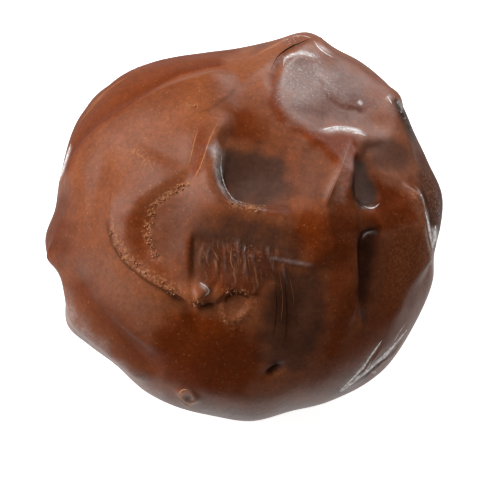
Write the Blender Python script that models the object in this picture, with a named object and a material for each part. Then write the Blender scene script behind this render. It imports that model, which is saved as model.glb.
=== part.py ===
"""A hand-dipped salted caramel truffle: a ball of set chocolate with a swirled crown and a flat spot below.

Metres, +Z up. The origin is the middle of the flat spot, and the crown leans towards the front, -Y.
The surface is worked out in millimetres as one radius for each direction from the ball's middle.
Places on the crown are (across, up) in mm, on a plane square to the crown's axis.
"""

import math

import bmesh
import bpy
import numpy as np

MM = 0.001
HALF_WIDTH = 14.9  # across, the largest radius of the plain ball
HALF_HEIGHT = 13.3  # upright radius of the plain ball
CROWN_RADIUS = 13.8  # of the plain ball along the crown's axis
SITS_AT = 11.5  # height of the ball's middle above the flat spot
CROWN_ELEVATION = 55.0  # degrees of the crown's axis above the horizon
CROWN_CROWDING = 0.45  # 0 spreads the mesh evenly, and more draws it towards the crown
RINGS = 8  # subdivisions of the icosphere that the shell starts from
FACES = 11000  # triangles that are kept
PATH_STEP = 0.25  # mm between the points along a stroke
NEAREST = 0.12  # mm of a stroke that a point on it answers to
SPREAD = 0.3  # how much more of it a point answers to for each mm away
CHOCOLATE = (0.105, 0.034, 0.014, 1.0)

# The outline seen along the crown's axis: bearing in degrees anticlockwise from across, and radius in mm.
RIM = (
    (0, 15.0), (9, 15.3), (20, 14.85), (30, 14.85), (38, 15.2), (55, 15.25), (63, 15.05), (72, 15.35),
    (80, 14.4), (92, 13.6), (103, 13.65), (118, 14.4), (132, 15.0), (150, 14.95), (165, 14.5), (174, 14.35),
    (184, 15.1), (188, 15.05), (194, 14.3), (201, 14.5), (209, 15.3), (217, 14.85), (226, 14.35),
    (240, 14.6), (262, 14.5), (272, 14.65), (285, 14.25), (298, 14.6), (315, 15.0), (332, 14.85),
    (345, 14.95), (352, 14.65),
)


def smooth(x):
    """0 below 0, 1 above 1, and a smooth rise between."""
    x = np.clip(x, 0.0, 1.0)
    return x * x * (3.0 - 2.0 * x)


def bell(x):
    return np.exp(-x * x)


def unit(v):
    return v / np.linalg.norm(v, axis=-1, keepdims=True)


def crown_axes():
    """Rows: across, up and out of the crown, as world directions."""
    e = math.radians(CROWN_ELEVATION)
    return np.array([[1, 0, 0], [0, math.sin(e), math.cos(e)], [0, -math.cos(e), math.sin(e)]])


def far(bearing, reach):
    """A direction from its bearing round the crown and its angle from the crown's axis, in degrees."""
    b, r = math.radians(bearing), math.radians(reach)
    return (math.cos(b) * math.sin(r), math.sin(b) * math.sin(r), math.cos(r))


def directions_of(places):
    """Unit vectors of places: (across, up) in mm, or a direction as far() gives it."""
    found = []
    for place in places:
        if len(place) == 3:
            found.append(place)
            continue
        out = min(1.0, math.hypot(*place) / HALF_WIDTH)
        plain = CROWN_RADIUS + (HALF_WIDTH - CROWN_RADIUS) * out * out
        x, y = place[0] / plain, place[1] / plain
        found.append((x, y, math.sqrt(max(0.0, 1.0 - x * x - y * y))))
    return unit(np.array(found, float))


def stroke(places):
    """Points, tangents and lengths along a smooth curve over the ball through the places."""
    knots = directions_of(places)
    ends = np.vstack([2 * knots[0] - knots[1], knots, 2 * knots[-1] - knots[-2]])
    points = []
    for a, b, c, d in zip(ends, ends[1:], ends[2:], ends[3:]):
        count = max(2, math.ceil(np.linalg.norm(c - b) * HALF_WIDTH / PATH_STEP))
        for t in np.arange(count)[:, None] / count:
            bend = 2 * a - 5 * b + 4 * c - d + t * (3 * (b - c) + d - a)
            points.append(b + 0.5 * t * (c - a + t * bend))
    points = unit(np.vstack(points + [knots[-1:]]))
    tangents = unit(np.gradient(points, axis=0))
    steps = np.linalg.norm(np.diff(points, axis=0), axis=1) * HALF_WIDTH
    return points, tangents, np.concatenate([[0.0], np.cumsum(steps)])


def vary(value, share):
    """A size along a stroke: one number, or several spread evenly from its start to its end."""
    if np.isscalar(value):
        return value
    sizes = np.array(value, float)
    at = np.clip(share, 0, 1) * (len(sizes) - 1)
    i = np.minimum(at.astype(int), len(sizes) - 2)
    t = smooth(at - i)
    return sizes[i] * (1 - t) + sizes[i + 1] * t


def plain_radius(world):
    """The plain ball's radius for world directions."""
    return 1 / np.sqrt((world[:, :2] ** 2).sum(1) / HALF_WIDTH**2 + world[:, 2] ** 2 / HALF_HEIGHT**2)


class Shell:
    """The surface: a radius, and a small sideways slide, for each of many directions in crown axes."""

    def __init__(self, directions):
        self.directions = directions
        self.radius = plain_radius(directions @ crown_axes())
        self.slide = np.zeros_like(directions)

    def fit_rim(self, in_front, behind):
        """Brings the outline round the crown to RIM, fading over these angles before and behind it."""
        bearing = np.degrees(np.arctan2(self.directions[:, 1], self.directions[:, 0])) % 360
        at, radius = np.array(RIM, float).T
        at, radius = np.concatenate([at - 360, at, at + 360]), np.tile(radius, 3)
        slope = np.gradient(radius, at)
        i = np.searchsorted(at, bearing, side="right") - 1
        span = at[i + 1] - at[i]
        t = (bearing - at[i]) / span
        wanted = (
            radius[i] * (1 + 2 * t) * (1 - t) ** 2
            + radius[i + 1] * t * t * (3 - 2 * t)
            + span * t * (1 - t) * (slope[i] * (1 - t) - slope[i + 1] * t)
        )
        flat = np.stack([np.cos(np.radians(bearing)), np.sin(np.radians(bearing)), 0 * bearing], 1)
        world = flat @ crown_axes()
        plain = plain_radius(world)
        past = np.degrees(np.arccos(np.clip(self.directions[:, 2], -1, 1))) - 90
        share = bell(past / np.where(past < 0, in_front, behind))
        self.radius += (wanted - plain) * share

    def along(self, places, limit):
        """The points within limit mm of a stroke.

        Gives their numbers, distance to its right, place along it in mm, share of its length, and the
        rightward direction at each.
        """
        points, tangents, lengths = stroke(places)
        rights = np.cross(tangents, points)
        middle = unit(points.mean(0))
        widest = math.acos(np.clip((points @ middle).min(), -1, 1)) + limit / HALF_WIDTH
        near = np.flatnonzero(self.directions @ middle > math.cos(min(widest, math.pi)))
        near = near[(self.directions[near] @ points.T).max(1) > math.cos(limit / HALF_WIDTH)]
        d = self.directions[near]
        apart = 2 * (1 - d @ points.T) * HALF_WIDTH**2
        least = apart.min(1, keepdims=True)
        answering = NEAREST + SPREAD * np.sqrt(np.clip(least, 0, None))
        weight = np.exp(-(apart - least) / (2 * answering**2))
        weight /= weight.sum(1, keepdims=True)
        ahead = (weight * (d @ tangents.T)).sum(1) * HALF_WIDTH
        aside = (weight * (d @ rights.T)).sum(1) * HALF_WIDTH
        place = weight @ lengths + ahead
        return near, aside, place, place / lengths[-1], weight @ rights

    def ends(self, place, share, start, stop):
        """1 along the stroke, fading to 0 over its first and last millimetres and past its ends."""
        left = place / np.where(share == 0, 1, share) * (1 - share)
        return smooth(place / start) * smooth(left / stop)

    def crest(self, places, height, left, right, start=2.0, stop=2.0, sharp=0.0, lean=0.0):
        """A ridge (or, below 0, a groove) with its own width on each side. lean tips it to the right."""
        near, aside, place, share, across = self.along(places, 2.4 * max(np.max(left), np.max(right)))
        x = np.abs(aside) / np.where(aside < 0, vary(left, share), vary(right, share))
        profile = (1 - sharp) * bell(x) + sharp * np.exp(-1.6 * x) * bell(x / 2)
        profile *= self.ends(place, share, start, stop)
        self.radius[near] += vary(height, share) * profile
        self.slide[near] += (lean * profile)[:, None] * across

    def step(self, places, height, edge, reach, start=2.0, stop=2.0, lean=0.0, bead=0.0):
        """A layer with its edge along the stroke, raised to its right and fading over reach mm.

        bead swells its brow, and lean tips it over the lower side.
        """
        near, aside, place, share, across = self.along(places, 2.4 * np.max(reach))
        wide = vary(edge, share)
        shown = self.ends(place, share, start, stop)
        rise = smooth(aside / wide + 0.5) * bell(np.clip(aside - wide, 0, None) / vary(reach, share))
        brow = bell((aside - 0.5 * wide) / (1.2 * wide)) * shown
        self.radius[near] += vary(height, share) * rise * shown + bead * brow
        self.slide[near] -= (lean * brow)[:, None] * across

    def patch(self, middle, across, up, turn=0.0, power=2.0):
        """1 at middle, fading over across (left, right) and up (down, up) mm, turned anticlockwise.

        A power over 2 gives it a flatter middle and a steeper edge.
        """
        centre = directions_of([middle])[0]
        side = unit(np.cross((0.0, 1.0, 0.0), centre))
        over = np.cross(centre, side)
        x = self.directions @ side * HALF_WIDTH
        y = self.directions @ over * HALF_WIDTH
        a = math.radians(turn)
        u, v = x * math.cos(a) + y * math.sin(a), y * math.cos(a) - x * math.sin(a)
        rho = np.hypot(u / np.where(u < 0, *across), v / np.where(v < 0, *up))
        return np.where(self.directions @ centre > 0, np.exp(-(rho**power)), 0.0)

    def swell(self, middle, across, up, height, turn=0.0, power=2.0):
        """A rounded swelling, or, below 0, a hollow."""
        self.radius += height * self.patch(middle, across, up, turn, power)

    def scoop(self, middle, depth, hollow, blend, tilt=(0.0, 0.0)):
        """Cuts the ball with a large sphere of radius hollow, depth mm deep at middle.

        tilt turns the cut by (across, up) degrees.
        """
        centre = directions_of([middle])[0]
        side = unit(np.cross((0.0, 1.0, 0.0), centre))
        over = np.cross(centre, side)
        a, b = (math.tan(math.radians(t)) for t in tilt)
        normal = unit(centre + a * side + b * over)
        base = self.radius[(self.directions @ centre).argmax()] - depth
        ball = centre * base + normal * hollow
        along = self.directions @ ball
        inside = along**2 - (ball @ ball - hollow**2)
        cut = np.where((inside > 0) & (along > 0), along - np.sqrt(np.clip(inside, 0, None)), 99.0)
        over_cut = np.clip((self.radius - cut) / blend * 0.5 + 0.5, 0, 1)
        self.radius = self.radius * (1 - over_cut) + cut * over_cut - blend * over_cut * (1 - over_cut)

    def lumps(self, size, height, seed, share=1.0):
        """Low, even swellings about size mm across, from a few waves in seeded directions."""
        draw = np.random.default_rng(seed)
        waves = unit(draw.normal(size=(9, 3))) * (2 * math.pi * HALF_WIDTH / size / 2)
        shifts = draw.uniform(0, 2 * math.pi, 9)
        total = np.sin(self.directions @ waves.T + shifts).sum(1) / 3
        self.radius += height * share * total

    def points(self):
        """World places in mm, with the flat spot at height 0."""
        world = (self.directions * self.radius[:, None] + self.slide) @ crown_axes()
        world[:, 2] += SITS_AT
        return world


def outer_layer(shell):
    """The broad smooth face left of the swirl, and the break where it turns down to the side."""
    shell.crest(
        [(-14.0, 2.6), (-12.2, 5.9), (-9.5, 8.5), (-6.3, 10.5), (-3, 11.8), (-0.3, 12.4)], height=0.55,
        left=1.0, right=3.6, start=3, stop=3, sharp=0.35
    )
    shell.step(
        [(-13.4, 3.4), (-12.0, 6.1), (-9.4, 8.4), (-6.3, 10.4), (-3, 11.7), (-0.5, 12.3)],
        height=(0.05, 0.14, 0.18, 0.14, 0.06), edge=0.4, reach=3.5, start=2, stop=2
    )
    shell.crest(
        [(-9.6, 6.4), (-11.0, 3.5), (-11.2, 0.5), (-10.6, -2)], height=-0.25, left=1.2, right=1.2,
        start=3, stop=2
    )


def swirl(shell):
    """The crescent left by the last stroke: its inner edge, its sharper outer edge, and its blunt tip."""
    shell.step(
        [(3.0, 13.4), (1.4, 12.6), (0, 11.2), (-1.2, 9.8), (-2.6, 8.5), (-3.4, 7.2), (-3.8, 5.6),
        (-4.1, 4.4), (-4.8, 3.5), (-5.8, 2.8), (-6.9, 1.9), (-7.6, 0.4), (-7.7, -1.0), (-7.2, -2.3),
        (-6.2, -3.2), (-5.0, -4.0), (-4.0, -4.8)],
        height=(0.08, 0.1, 0.08, 0.1, 0.2, 0.45, 0.5, 0.4, 0.25),
        edge=(0.8, 1.0, 1.2, 1.1, 1.1, 1.6, 1.8, 1.3, 0.9), reach=(2, 4, 5, 5, 4.5, 3, 2, 1.6, 1.0),
        start=2, stop=1.5
    )
    shell.step(
        [(-3.2, -5.6), (-4.1, -4.8), (-5.5, -4.05), (-7.1, -3.2), (-8.3, -2.2), (-9.1, -1.1),
        (-9.5, 0.3), (-9.6, 2.4), (-8.8, 5.0)], height=(0.75, 0.75, 0.6, 0.4, 0.15),
        edge=(0.3, 0.3, 0.4, 0.7, 1.4), reach=(1.6, 1.8, 2.2, 3.0, 3.5), start=0.5, stop=4, lean=0.18,
        bead=0.06
    )
    shell.swell((-3.6, -4.8), across=(1.1, 0.9), up=(0.6, 0.8), height=0.17, turn=-40)
    shell.swell((-5.3, -0.6), across=(1.8, 1.8), up=(2.6, 2.6), height=-0.2)


def central_hollow(shell):
    """The deep hollow in the crown's middle, walled on its left and below, open right and above."""
    shell.swell((1.0, 4.2), across=(3.6, 4.6), up=(3.2, 4.8), height=-1.3, turn=-15, power=2.2)
    shell.step(
        [(0.9, 10.4), (-0.4, 9.0), (-1.4, 7.6), (-1.8, 6.4), (-1.85, 5.2), (-1.95, 4.3), (-1.8, 3.4),
        (-1.4, 2.6), (-0.9, 2.0), (-0.2, 1.75), (1.0, 1.5), (2.4, 1.35), (3.8, 1.2), (5.0, 1.0)],
        height=(0.0, 0.15, 0.7, 1.1, 1.1, 0.9, 0.45, 0.1),
        edge=(2.4, 1.8, 0.9, 0.5, 0.4, 0.35, 0.9, 2.2), reach=(1.5, 2.2, 2.0, 1.4, 1.6, 1.6, 2.0, 2.0),
        start=3, stop=2.5
    )
    shell.crest(
        [(-0.6, 8.6), (-1.6, 7.6), (-2.4, 6.5), (-2.75, 5.5), (-3.0, 4.6), (-3.4, 3.6)], height=0.07,
        left=0.3, right=0.3, start=2.5, stop=1
    )


def tall_ridge(shell):
    """The ridge right of the hollow, its top fold, and the column that it runs down into."""
    head = [(7.9, 7.0), (7.2, 5.1), (6.6, 3.7), (6.1, 2.4), (5.9, 1.4)]
    shell.crest(
        head + [(6.1, 0.0), (6.5, -1.6), (6.9, -3.4)], height=(0.7, 0.95, 1.0, 0.9, 0.6, 0.35),
        left=(1.4, 1.8, 2.0, 2.2, 2.0, 1.4), right=(1.7, 1.8, 1.8), start=1.0, stop=3, sharp=0.35
    )
    shell.crest(head, height=(0.05, 0.16, 0.18, 0.12), left=0.35, right=0.25, start=0.8, stop=0.8)
    shell.crest(
        [(3.8, 7.0), (5.2, 6.85), (6.3, 7.0), (7.2, 7.1), (8.1, 6.9), (8.9, 6.4)],
        height=(0.0, 0.35, 0.75, 0.55), left=0.6, right=0.7, start=1.5, stop=1
    )
    shell.step(
        [(7.95, 1.7), (7.95, 0.6), (8.0, -0.5), (8.15, -2.5), (8.2, -4.5), (8.0, -6.0), (7.6, -7.8)],
        height=(0.05, 0.2, 0.4, 0.45, 0.3, 0.1), edge=(0.6, 0.4, 0.3, 0.5, 1.2), reach=1.6, start=2.0,
        stop=2, lean=0.12
    )
    shell.crest(
        [(6.0, -1.6), (6.0, -3.5), (6.0, -6), (5.7, -8), (4.8, -9.8)], height=-0.22, left=1.6, right=0.9,
        start=2
    )


def right_hollows(shell):
    """The two deep hollows under the ridge's right edge, and the arm between the upper one and the side."""
    shell.swell((9.1, 3.9), across=(1.4, 2.4), up=(2.6, 2.4), height=-0.75, turn=-8)
    shell.step(
        [(9.4, 6.1), (8.5, 5.4), (7.95, 4.4), (7.75, 3.2), (7.85, 2.3), (8.3, 1.5), (9.1, 1.25),
        (10.4, 1.6)], height=(0.1, 0.5, 0.9, 1.0, 0.9, 0.55, 0.15),
        edge=(1.0, 0.5, 0.35, 0.3, 0.3, 0.35, 0.9), reach=(1.0, 0.9, 0.9, 1.0, 1.2, 1.4), start=1.2,
        stop=1.5
    )
    shell.crest([(8.6, 5.7), (9.3, 6.2), (10.3, 6.4), (11.2, 6.3)], height=-0.2, left=0.8, right=0.8)
    shell.crest(
        [(9.6, 4.9), (10.4, 4.0), (11.4, 3.35), (12.6, 3.1)], height=0.2, left=0.9, right=1.3, start=1.5
    )
    shell.crest(
        [(8.8, -0.6), (8.75, -1.6), (8.75, -3.2), (8.7, -5), (8.4, -7.6)],
        height=(-0.45, -0.75, -0.8, -0.6, -0.15), left=(1.4, 1.6, 1.5), right=0.45, start=1.2, stop=2
    )
    shell.step(
        [(10.8, -0.4), (10.2, -0.2), (9.4, -0.05), (8.7, -0.3), (8.35, -1.0)], height=(0.0, 0.25, 0.3),
        edge=(0.9, 0.4, 0.35), reach=0.9, start=1.5, stop=0.8
    )
    shell.step(
        [(11.7, 3.6), (12.5, 2.6), (12.9, 1.3), (13.15, 0), (13.5, -1.6), (13.8, -3.6)],
        height=(0.5, 0.9, 0.9, 0.7, 0.3), edge=0.5, reach=2.2, start=1.8, stop=2.5, bead=0.1
    )
    shell.crest(
        [(12, 1.8), (12.1, -1.5), (11.7, -4), (10.9, -6.2), (9.4, -8.2)], height=0.3, left=1.6,
        right=1.4, stop=3
    )


def brushed_patch(shell):
    """The shallow wrinkled patch below the hollow, where the stroke ended, and its broken lower edge."""
    shell.swell((-0.9, -2.4), across=(3.2, 5.0), up=(2.2, 2.6), height=-0.4, turn=-8)
    shell.step(
        [(-3.3, -4.8), (-3.75, -3.6), (-3.9, -2.2), (-3.85, -1.0), (-3.4, 0.2)],
        height=(-0.1, -0.2, -0.2, -0.1), edge=(0.5, 0.4, 0.5, 0.9), reach=1.4, start=1.5, stop=1.5
    )
    shell.step(
        [(1.5, -5.1), (0.7, -4.9), (0.1, -4.65), (-0.5, -4.45), (-1.1, -4.55), (-1.65, -4.95),
        (-2.1, -5.3), (-2.6, -5.25), (-3.1, -5.5)], height=(0.0, 0.25, 0.4, 0.4, 0.35, 0.5), edge=0.28,
        reach=1.0, start=1.2, stop=0.4, lean=0.1
    )
    shell.swell((-0.55, -5.5), across=(0.8, 0.85), up=(0.75, 0.65), height=-0.34, power=3.0)
    shell.swell((-0.5, -5.6), across=(0.4, 0.45), up=(0.35, 0.35), height=0.14)
    shell.crest(
        [(-1.75, -5.3), (-1.5, -5.9), (-1.2, -6.4), (-0.6, -6.65), (0.0, -6.35), (0.45, -5.7)],
        height=(0.16, 0.14, 0.1), left=0.3, right=0.25, start=0.5, stop=0.8
    )
    shell.swell((3.9, -5.8), across=(2.4, 1.8), up=(3.4, 2.4), height=-0.5)
    shell.crest(
        [(1.0, -1.8), (2.2, -2.2), (3.5, -2.55), (5.0, -2.8), (6.4, -2.7)], height=0.2, left=0.8,
        right=0.35, start=1.5, stop=1.5
    )


def front_face(shell):
    """The plain lower faces, the soft ridges between them, a pit, and the crumb stuck near the foot."""
    shell.scoop((0.3, -10.0), depth=0.45, hollow=60, blend=0.5)
    shell.swell((-8.8, -5.6), across=(3.4, 3.6), up=(3.4, 3.2), height=0.35, turn=-35)
    shell.crest(
        [(-3.8, -5.9), (-5.1, -6.4), (-6.4, -7.6), (-7.1, -9.2)], height=0.4, left=1.7, right=2.6,
        start=1, stop=2
    )
    shell.crest(
        [(-14.6, -1.6), (-13.6, -4.0), (-12.6, -6.2), (-10.8, -8.2), (-8.6, -10.2), (-6.6, -11.8)],
        height=(0.4, 0.5, 0.4), left=1.3, right=1.4, start=1
    )
    shell.crest(
        [(-13.2, -2.2), (-12.0, -4.7), (-10.8, -6.2), (-9.2, -7.8), (-7.5, -9.6), (-5.9, -11.0)],
        height=(-0.15, -0.3, -0.3, -0.2), left=1.2, right=0.8
    )
    shell.swell((2.2, -10.6), across=(0.8, 0.8), up=(0.35, 0.35), height=-0.45, turn=50)
    shell.swell((-4.1, -12.45), across=(0.7, 0.7), up=(0.8, 0.7), height=0.55, power=3.0)
    shell.swell((-4.0, -12.4), across=(0.35, 0.3), up=(0.4, 0.35), height=-0.5)
    shell.crest([(10.4, -8.4), (9.4, -9.7), (8.5, -11.0), (7.6, -12.2)], height=0.14, left=0.5, right=0.3)
    shell.crest(
        [(12.1, -8.1), (11.3, -9.1), (10.1, -10.0), (8.9, -11.1), (7.7, -12.2)], height=0.14, left=0.35,
        right=0.5
    )


def top_facet(shell):
    """The broad scooped facet at the top right, the thin layer lapping over it, and the peak above it."""
    shell.scoop((6.2, 10.1), depth=0.85, hollow=42, blend=0.5)
    shell.step(
        [(8.9, 9.6), (8.1, 10.1), (7.3, 10.8), (6.4, 11.7), (5.2, 12.9)], height=(0.1, 0.09, 0.06, 0.02),
        edge=0.6, reach=(0.6, 1.4, 2.4, 2.6), start=0.5
    )
    shell.swell((9.2, 9.8), across=(0.8, 0.3), up=(0.3, 0.3), height=0.16, turn=-40)
    shell.swell((10.4, 8.0), across=(1.5, 1.4), up=(1.2, 1.2), height=-0.2, turn=30)
    shell.crest(
        [(5.1, 14.6), (5.6, 13.8), (6.3, 13.3), (7.4, 12.9)], height=0.3, left=0.5, right=0.8, start=1
    )
    shell.crest([(4.6, 14.2), (3.2, 13.4), (2.5, 12.4), (2.1, 11.0)], height=-0.15, left=0.5, right=0.7)
    shell.crest(
        [(3.0, 12.0), (3.1, 12.9), (3.7, 13.3), (4.6, 13.4), (6.1, 13.0)], height=0.08, left=0.3,
        right=0.4
    )
    shell.step(
        [(10.9, 10.6), (11.6, 9.1), (12.0, 8.0), (12.8, 6), (13.4, 4.2)], height=(0.3, 0.5, 0.4, 0.25),
        edge=0.6, reach=2.0, stop=3, bead=0.05
    )


def back_and_foot(shell):
    """What the crown's stroke leaves on the far side, and the slight foot that set round the flat spot."""
    shell.crest(
        [far(75, 95), far(70, 120), far(85, 140)], height=0.5, left=2.5, right=3.5, start=3, stop=4
    )
    shell.crest(
        [far(130, 95), far(150, 115), far(185, 125)], height=0.45, left=3, right=2.5, start=3, stop=4
    )
    shell.crest([far(20, 100), far(5, 120), far(340, 125)], height=0.45, left=3, right=3, start=3, stop=4)


def shaped(directions):
    """The finished shell for these directions in crown axes."""
    shell = Shell(directions)
    shell.fit_rim(in_front=22, behind=40)
    behind = smooth((0.35 - directions[:, 2]) / 0.7)
    shell.lumps(size=11, height=0.18, seed=5, share=0.35 + 0.65 * behind)
    for feature in (
        outer_layer, swirl, central_hollow, tall_ridge, right_hollows, brushed_patch,
        front_face, top_facet, back_and_foot,
    ):
        feature(shell)
    return shell


def crowded(directions):
    """The same directions drawn towards the crown, which has the finest relief."""
    reach = np.arccos(np.clip(directions[:, 2], -1, 1))
    drawn = reach - CROWN_CROWDING * np.sin(reach)
    flat = unit(directions[:, :2] + 1e-12)
    return np.column_stack([flat * np.sin(drawn)[:, None], np.cos(drawn)])


def chocolate():
    material = bpy.data.materials.new("chocolate")
    material.use_nodes = True
    finish = material.node_tree.nodes["Principled BSDF"]
    finish.inputs["Base Color"].default_value = CHOCOLATE
    finish.inputs["Roughness"].default_value = 0.4
    return material


def truffle():
    """The ball: an icosphere shaped point by point, thinned where it is plain, and cut flat below."""
    bm = bmesh.new()
    bmesh.ops.create_icosphere(bm, subdivisions=RINGS, radius=1.0)
    start = np.array([v.co for v in bm.verts])
    places = shaped(crowded(unit(start))).points() * MM
    for vert, place in zip(bm.verts, places):
        vert.co = place
    mesh = bpy.data.meshes.new("truffle")
    bm.to_mesh(mesh)
    bm.free()
    ball = bpy.data.objects.new("truffle", mesh)
    bpy.context.scene.collection.objects.link(ball)
    thin = ball.modifiers.new("thin", "DECIMATE")
    thin.ratio = FACES / len(mesh.polygons)
    graph = bpy.context.evaluated_depsgraph_get()
    thinned = bpy.data.meshes.new_from_object(ball.evaluated_get(graph))
    ball.modifiers.clear()
    bm = bmesh.new()
    bm.from_mesh(thinned)
    whole = bm.verts[:] + bm.edges[:] + bm.faces[:]
    cut = bmesh.ops.bisect_plane(
        bm, geom=whole, dist=1e-6, plane_co=(0, 0, 0), plane_no=(0, 0, 1), clear_inner=True
    )
    rim = [e for e in cut["geom_cut"] if isinstance(e, bmesh.types.BMEdge)]
    bmesh.ops.contextual_create(bm, geom=rim)
    bmesh.ops.recalc_face_normals(bm, faces=bm.faces[:])
    bm.to_mesh(mesh)
    bm.free()
    bpy.data.meshes.remove(thinned)
    mesh.shade_smooth()
    mesh.set_sharp_from_angle(angle=math.radians(50))
    mesh.materials.append(chocolate())
    return ball


def main():
    for old in list(bpy.data.objects):
        bpy.data.objects.remove(old)
    truffle()


main()
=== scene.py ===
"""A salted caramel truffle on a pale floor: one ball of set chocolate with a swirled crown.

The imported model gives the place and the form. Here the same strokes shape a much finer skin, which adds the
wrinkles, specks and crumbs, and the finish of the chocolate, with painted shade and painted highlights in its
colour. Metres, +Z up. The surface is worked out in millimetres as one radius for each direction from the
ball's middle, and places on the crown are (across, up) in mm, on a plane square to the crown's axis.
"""

import math

import bmesh
import bpy
import numpy as np
from mathutils import Matrix, Vector
from mathutils.bvhtree import BVHTree


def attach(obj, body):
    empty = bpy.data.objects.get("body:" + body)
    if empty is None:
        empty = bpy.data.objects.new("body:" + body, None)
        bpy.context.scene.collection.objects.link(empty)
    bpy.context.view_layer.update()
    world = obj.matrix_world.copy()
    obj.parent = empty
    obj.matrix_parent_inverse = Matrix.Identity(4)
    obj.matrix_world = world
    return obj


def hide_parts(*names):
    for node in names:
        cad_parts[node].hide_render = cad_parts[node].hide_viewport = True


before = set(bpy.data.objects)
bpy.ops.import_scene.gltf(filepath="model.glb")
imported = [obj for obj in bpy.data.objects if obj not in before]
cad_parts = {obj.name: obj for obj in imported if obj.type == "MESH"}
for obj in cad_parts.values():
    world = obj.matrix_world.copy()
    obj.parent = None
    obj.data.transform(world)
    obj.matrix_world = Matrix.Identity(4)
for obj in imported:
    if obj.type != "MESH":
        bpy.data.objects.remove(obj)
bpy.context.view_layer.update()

MM = 0.001

# The ball, in mm
HALF_WIDTH = 14.9  # across, the largest radius of the plain ball
HALF_HEIGHT = 13.3  # upright radius of the plain ball
CROWN_RADIUS = 13.8  # of the plain ball along the crown's axis
SITS_AT = 11.5  # height of the ball's middle above the flat spot
CROWN_ELEVATION = 55.0  # degrees of the crown's axis above the horizon
MIDDLE = Vector((0, 0, SITS_AT * MM))  # of the ball, in metres

# The skin's mesh and how strokes shape it
SEGMENTS = 118  # squares along each edge of the cube that the skin starts from
CROWN_CROWDING = 0.45  # 0 spreads the mesh evenly, and more draws it towards the crown
PATH_STEP = 0.25  # mm between the points along a stroke
NEAREST = 0.12  # mm of a stroke that a point on it answers to
SPREAD = 0.3  # how much more of it a point answers to for each mm away
RIM_FADE = 0.35  # share of the radius, behind the crown's outline, over which its finishes fade out
WANDER = 0.45  # mm by which the edge of a softly edged finish strays

# Crumbs and hair-thin edges, in mm
CRUMBS = 420
CRUMB_SIZES = (0.03, 0.09)
CRUMB_CORNERS = (0.5, 1.6)  # how far its corners reach, as a share of its size
CRUMB_SCATTER = 0.11
CRUMBLY = 0.42  # the least scuffing that crumbs cling to
THREAD_STEP = 0.12  # between a thread's rings
THREAD_KNOTS = 0.9  # between the places where its width and course change
THREAD_WIDTHS = (0.6, 1.3)  # there, as a share of its width
THREAD_WAVER = 0.15  # how far it strays from its course, as a share of its width
THREAD_HEIGHT = 0.6  # of its back, as a share of its width
THREAD_SUNK = 0.12  # depth of its underside
THREAD_TUCKED = 0.02  # depth of its two sides
HIGH_ABOVE = 40  # where a thread's points are dropped from

# Colours and finish of the chocolate, among them the colours of painted shade and painted highlights
BROWN = (0.218, 0.055, 0.0155)
BROWN_LIGHT = (0.285, 0.077, 0.0225)
# painted shade: the cooler, darker brown of hollows and of sides turned from the light
BROWN_SHADE = (0.075, 0.030, 0.017)
# painted warm shade: a warmer, darker brown for shaded matt places
BROWN_WARM_SHADE = (0.19, 0.032, 0.0035)
TAN = (0.5, 0.21, 0.09)  # scuffed
HIGHLIGHT_WHITE = (0.95, 0.92, 0.9)  # painted highlight
# painted shade, nearly black, for the sharpest folds
CREASE_SHADE_COLOUR = (0.02, 0.006, 0.002)
GLINT = 0.25  # how strongly the painted highlight threads glow
ROUGHNESS = 0.37
ROUGHNESS_VARIES = 0.12
ROUGHNESS_WORN = 0.1  # more where it is scuffed
ROUGHNESS_POLISHED = 0.12  # less where it set smooth
SHINE = 0.26
SHINE_POLISHED = 0.12  # more where it set smooth
SHINE_MATT = 0.2  # less where the warm shade is painted
BUMP_DEPTH = 0.06  # mm
BUMP_STRENGTH = 0.4

# The floor: pale and glowing to the camera, and, in the chocolate's reflections only, a glowing surface,
# darker in front and brighter elsewhere
FLOOR_HALF = 0.6
FLOOR_COLOUR = (0.85, 0.85, 0.85)
FLOOR_GLOW = 0.9
FLOOR_ROUGHNESS = 0.8
FLOOR_SHINE = 0.2
FLOOR_BOUNCE = (0.4, 0.38, 0.36)
FLOOR_BEFORE = (0.01, 0.01, 0.01)
FLOOR_BEHIND = (0.4, 0.4, 0.4)
FLOOR_LEFT = (1.1, 1.1, 1.1)
FLOOR_FOOT = (1.1, 1.1, 1.1)
BEHIND_FROM, BEHIND_TO = -10, 30  # mm back from the middle
LEFT_FROM, LEFT_TO = 12, 45  # mm left of the middle
FOOT_FROM, FOOT_TO = 18, 30  # mm from the middle

# Lights
WINDOW = 0.5
BULB = 0.12
SOFTBOX = 1.25
FILL = 0.08
SIDE = 0.12
OVERHEAD = 0.15
SURROUNDINGS = 0.04
LAMPS_AWAY = 0.45  # metres

# The camera, framed as the photograph is
PHOTO_WIDTH = 480  # pixels
PIXELS_PER_MM = 13.13
PHOTO_SHIFT = (-4, -13)  # pixels from the middle of the ball to the middle of the picture, across and up
SENSOR = 36.0
CAMERA_AWAY = 0.42  # metres

# The outline seen along the crown's axis: bearing in degrees anticlockwise from across, and radius in mm.
RIM = (
    (0, 15.0), (9, 15.3), (20, 14.85), (30, 14.85), (38, 15.2), (55, 15.25), (63, 15.05), (72, 15.35),
    (80, 14.4), (92, 13.6), (103, 13.65), (118, 14.4), (132, 15.0), (150, 14.95), (165, 14.5), (174, 14.35),
    (184, 15.1), (188, 15.05), (194, 14.3), (201, 14.5), (209, 15.3), (217, 14.85), (226, 14.35),
    (240, 14.6), (262, 14.5), (272, 14.65), (285, 14.25), (298, 14.6), (315, 15.0), (332, 14.85),
    (345, 14.95), (352, 14.65),
)

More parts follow.
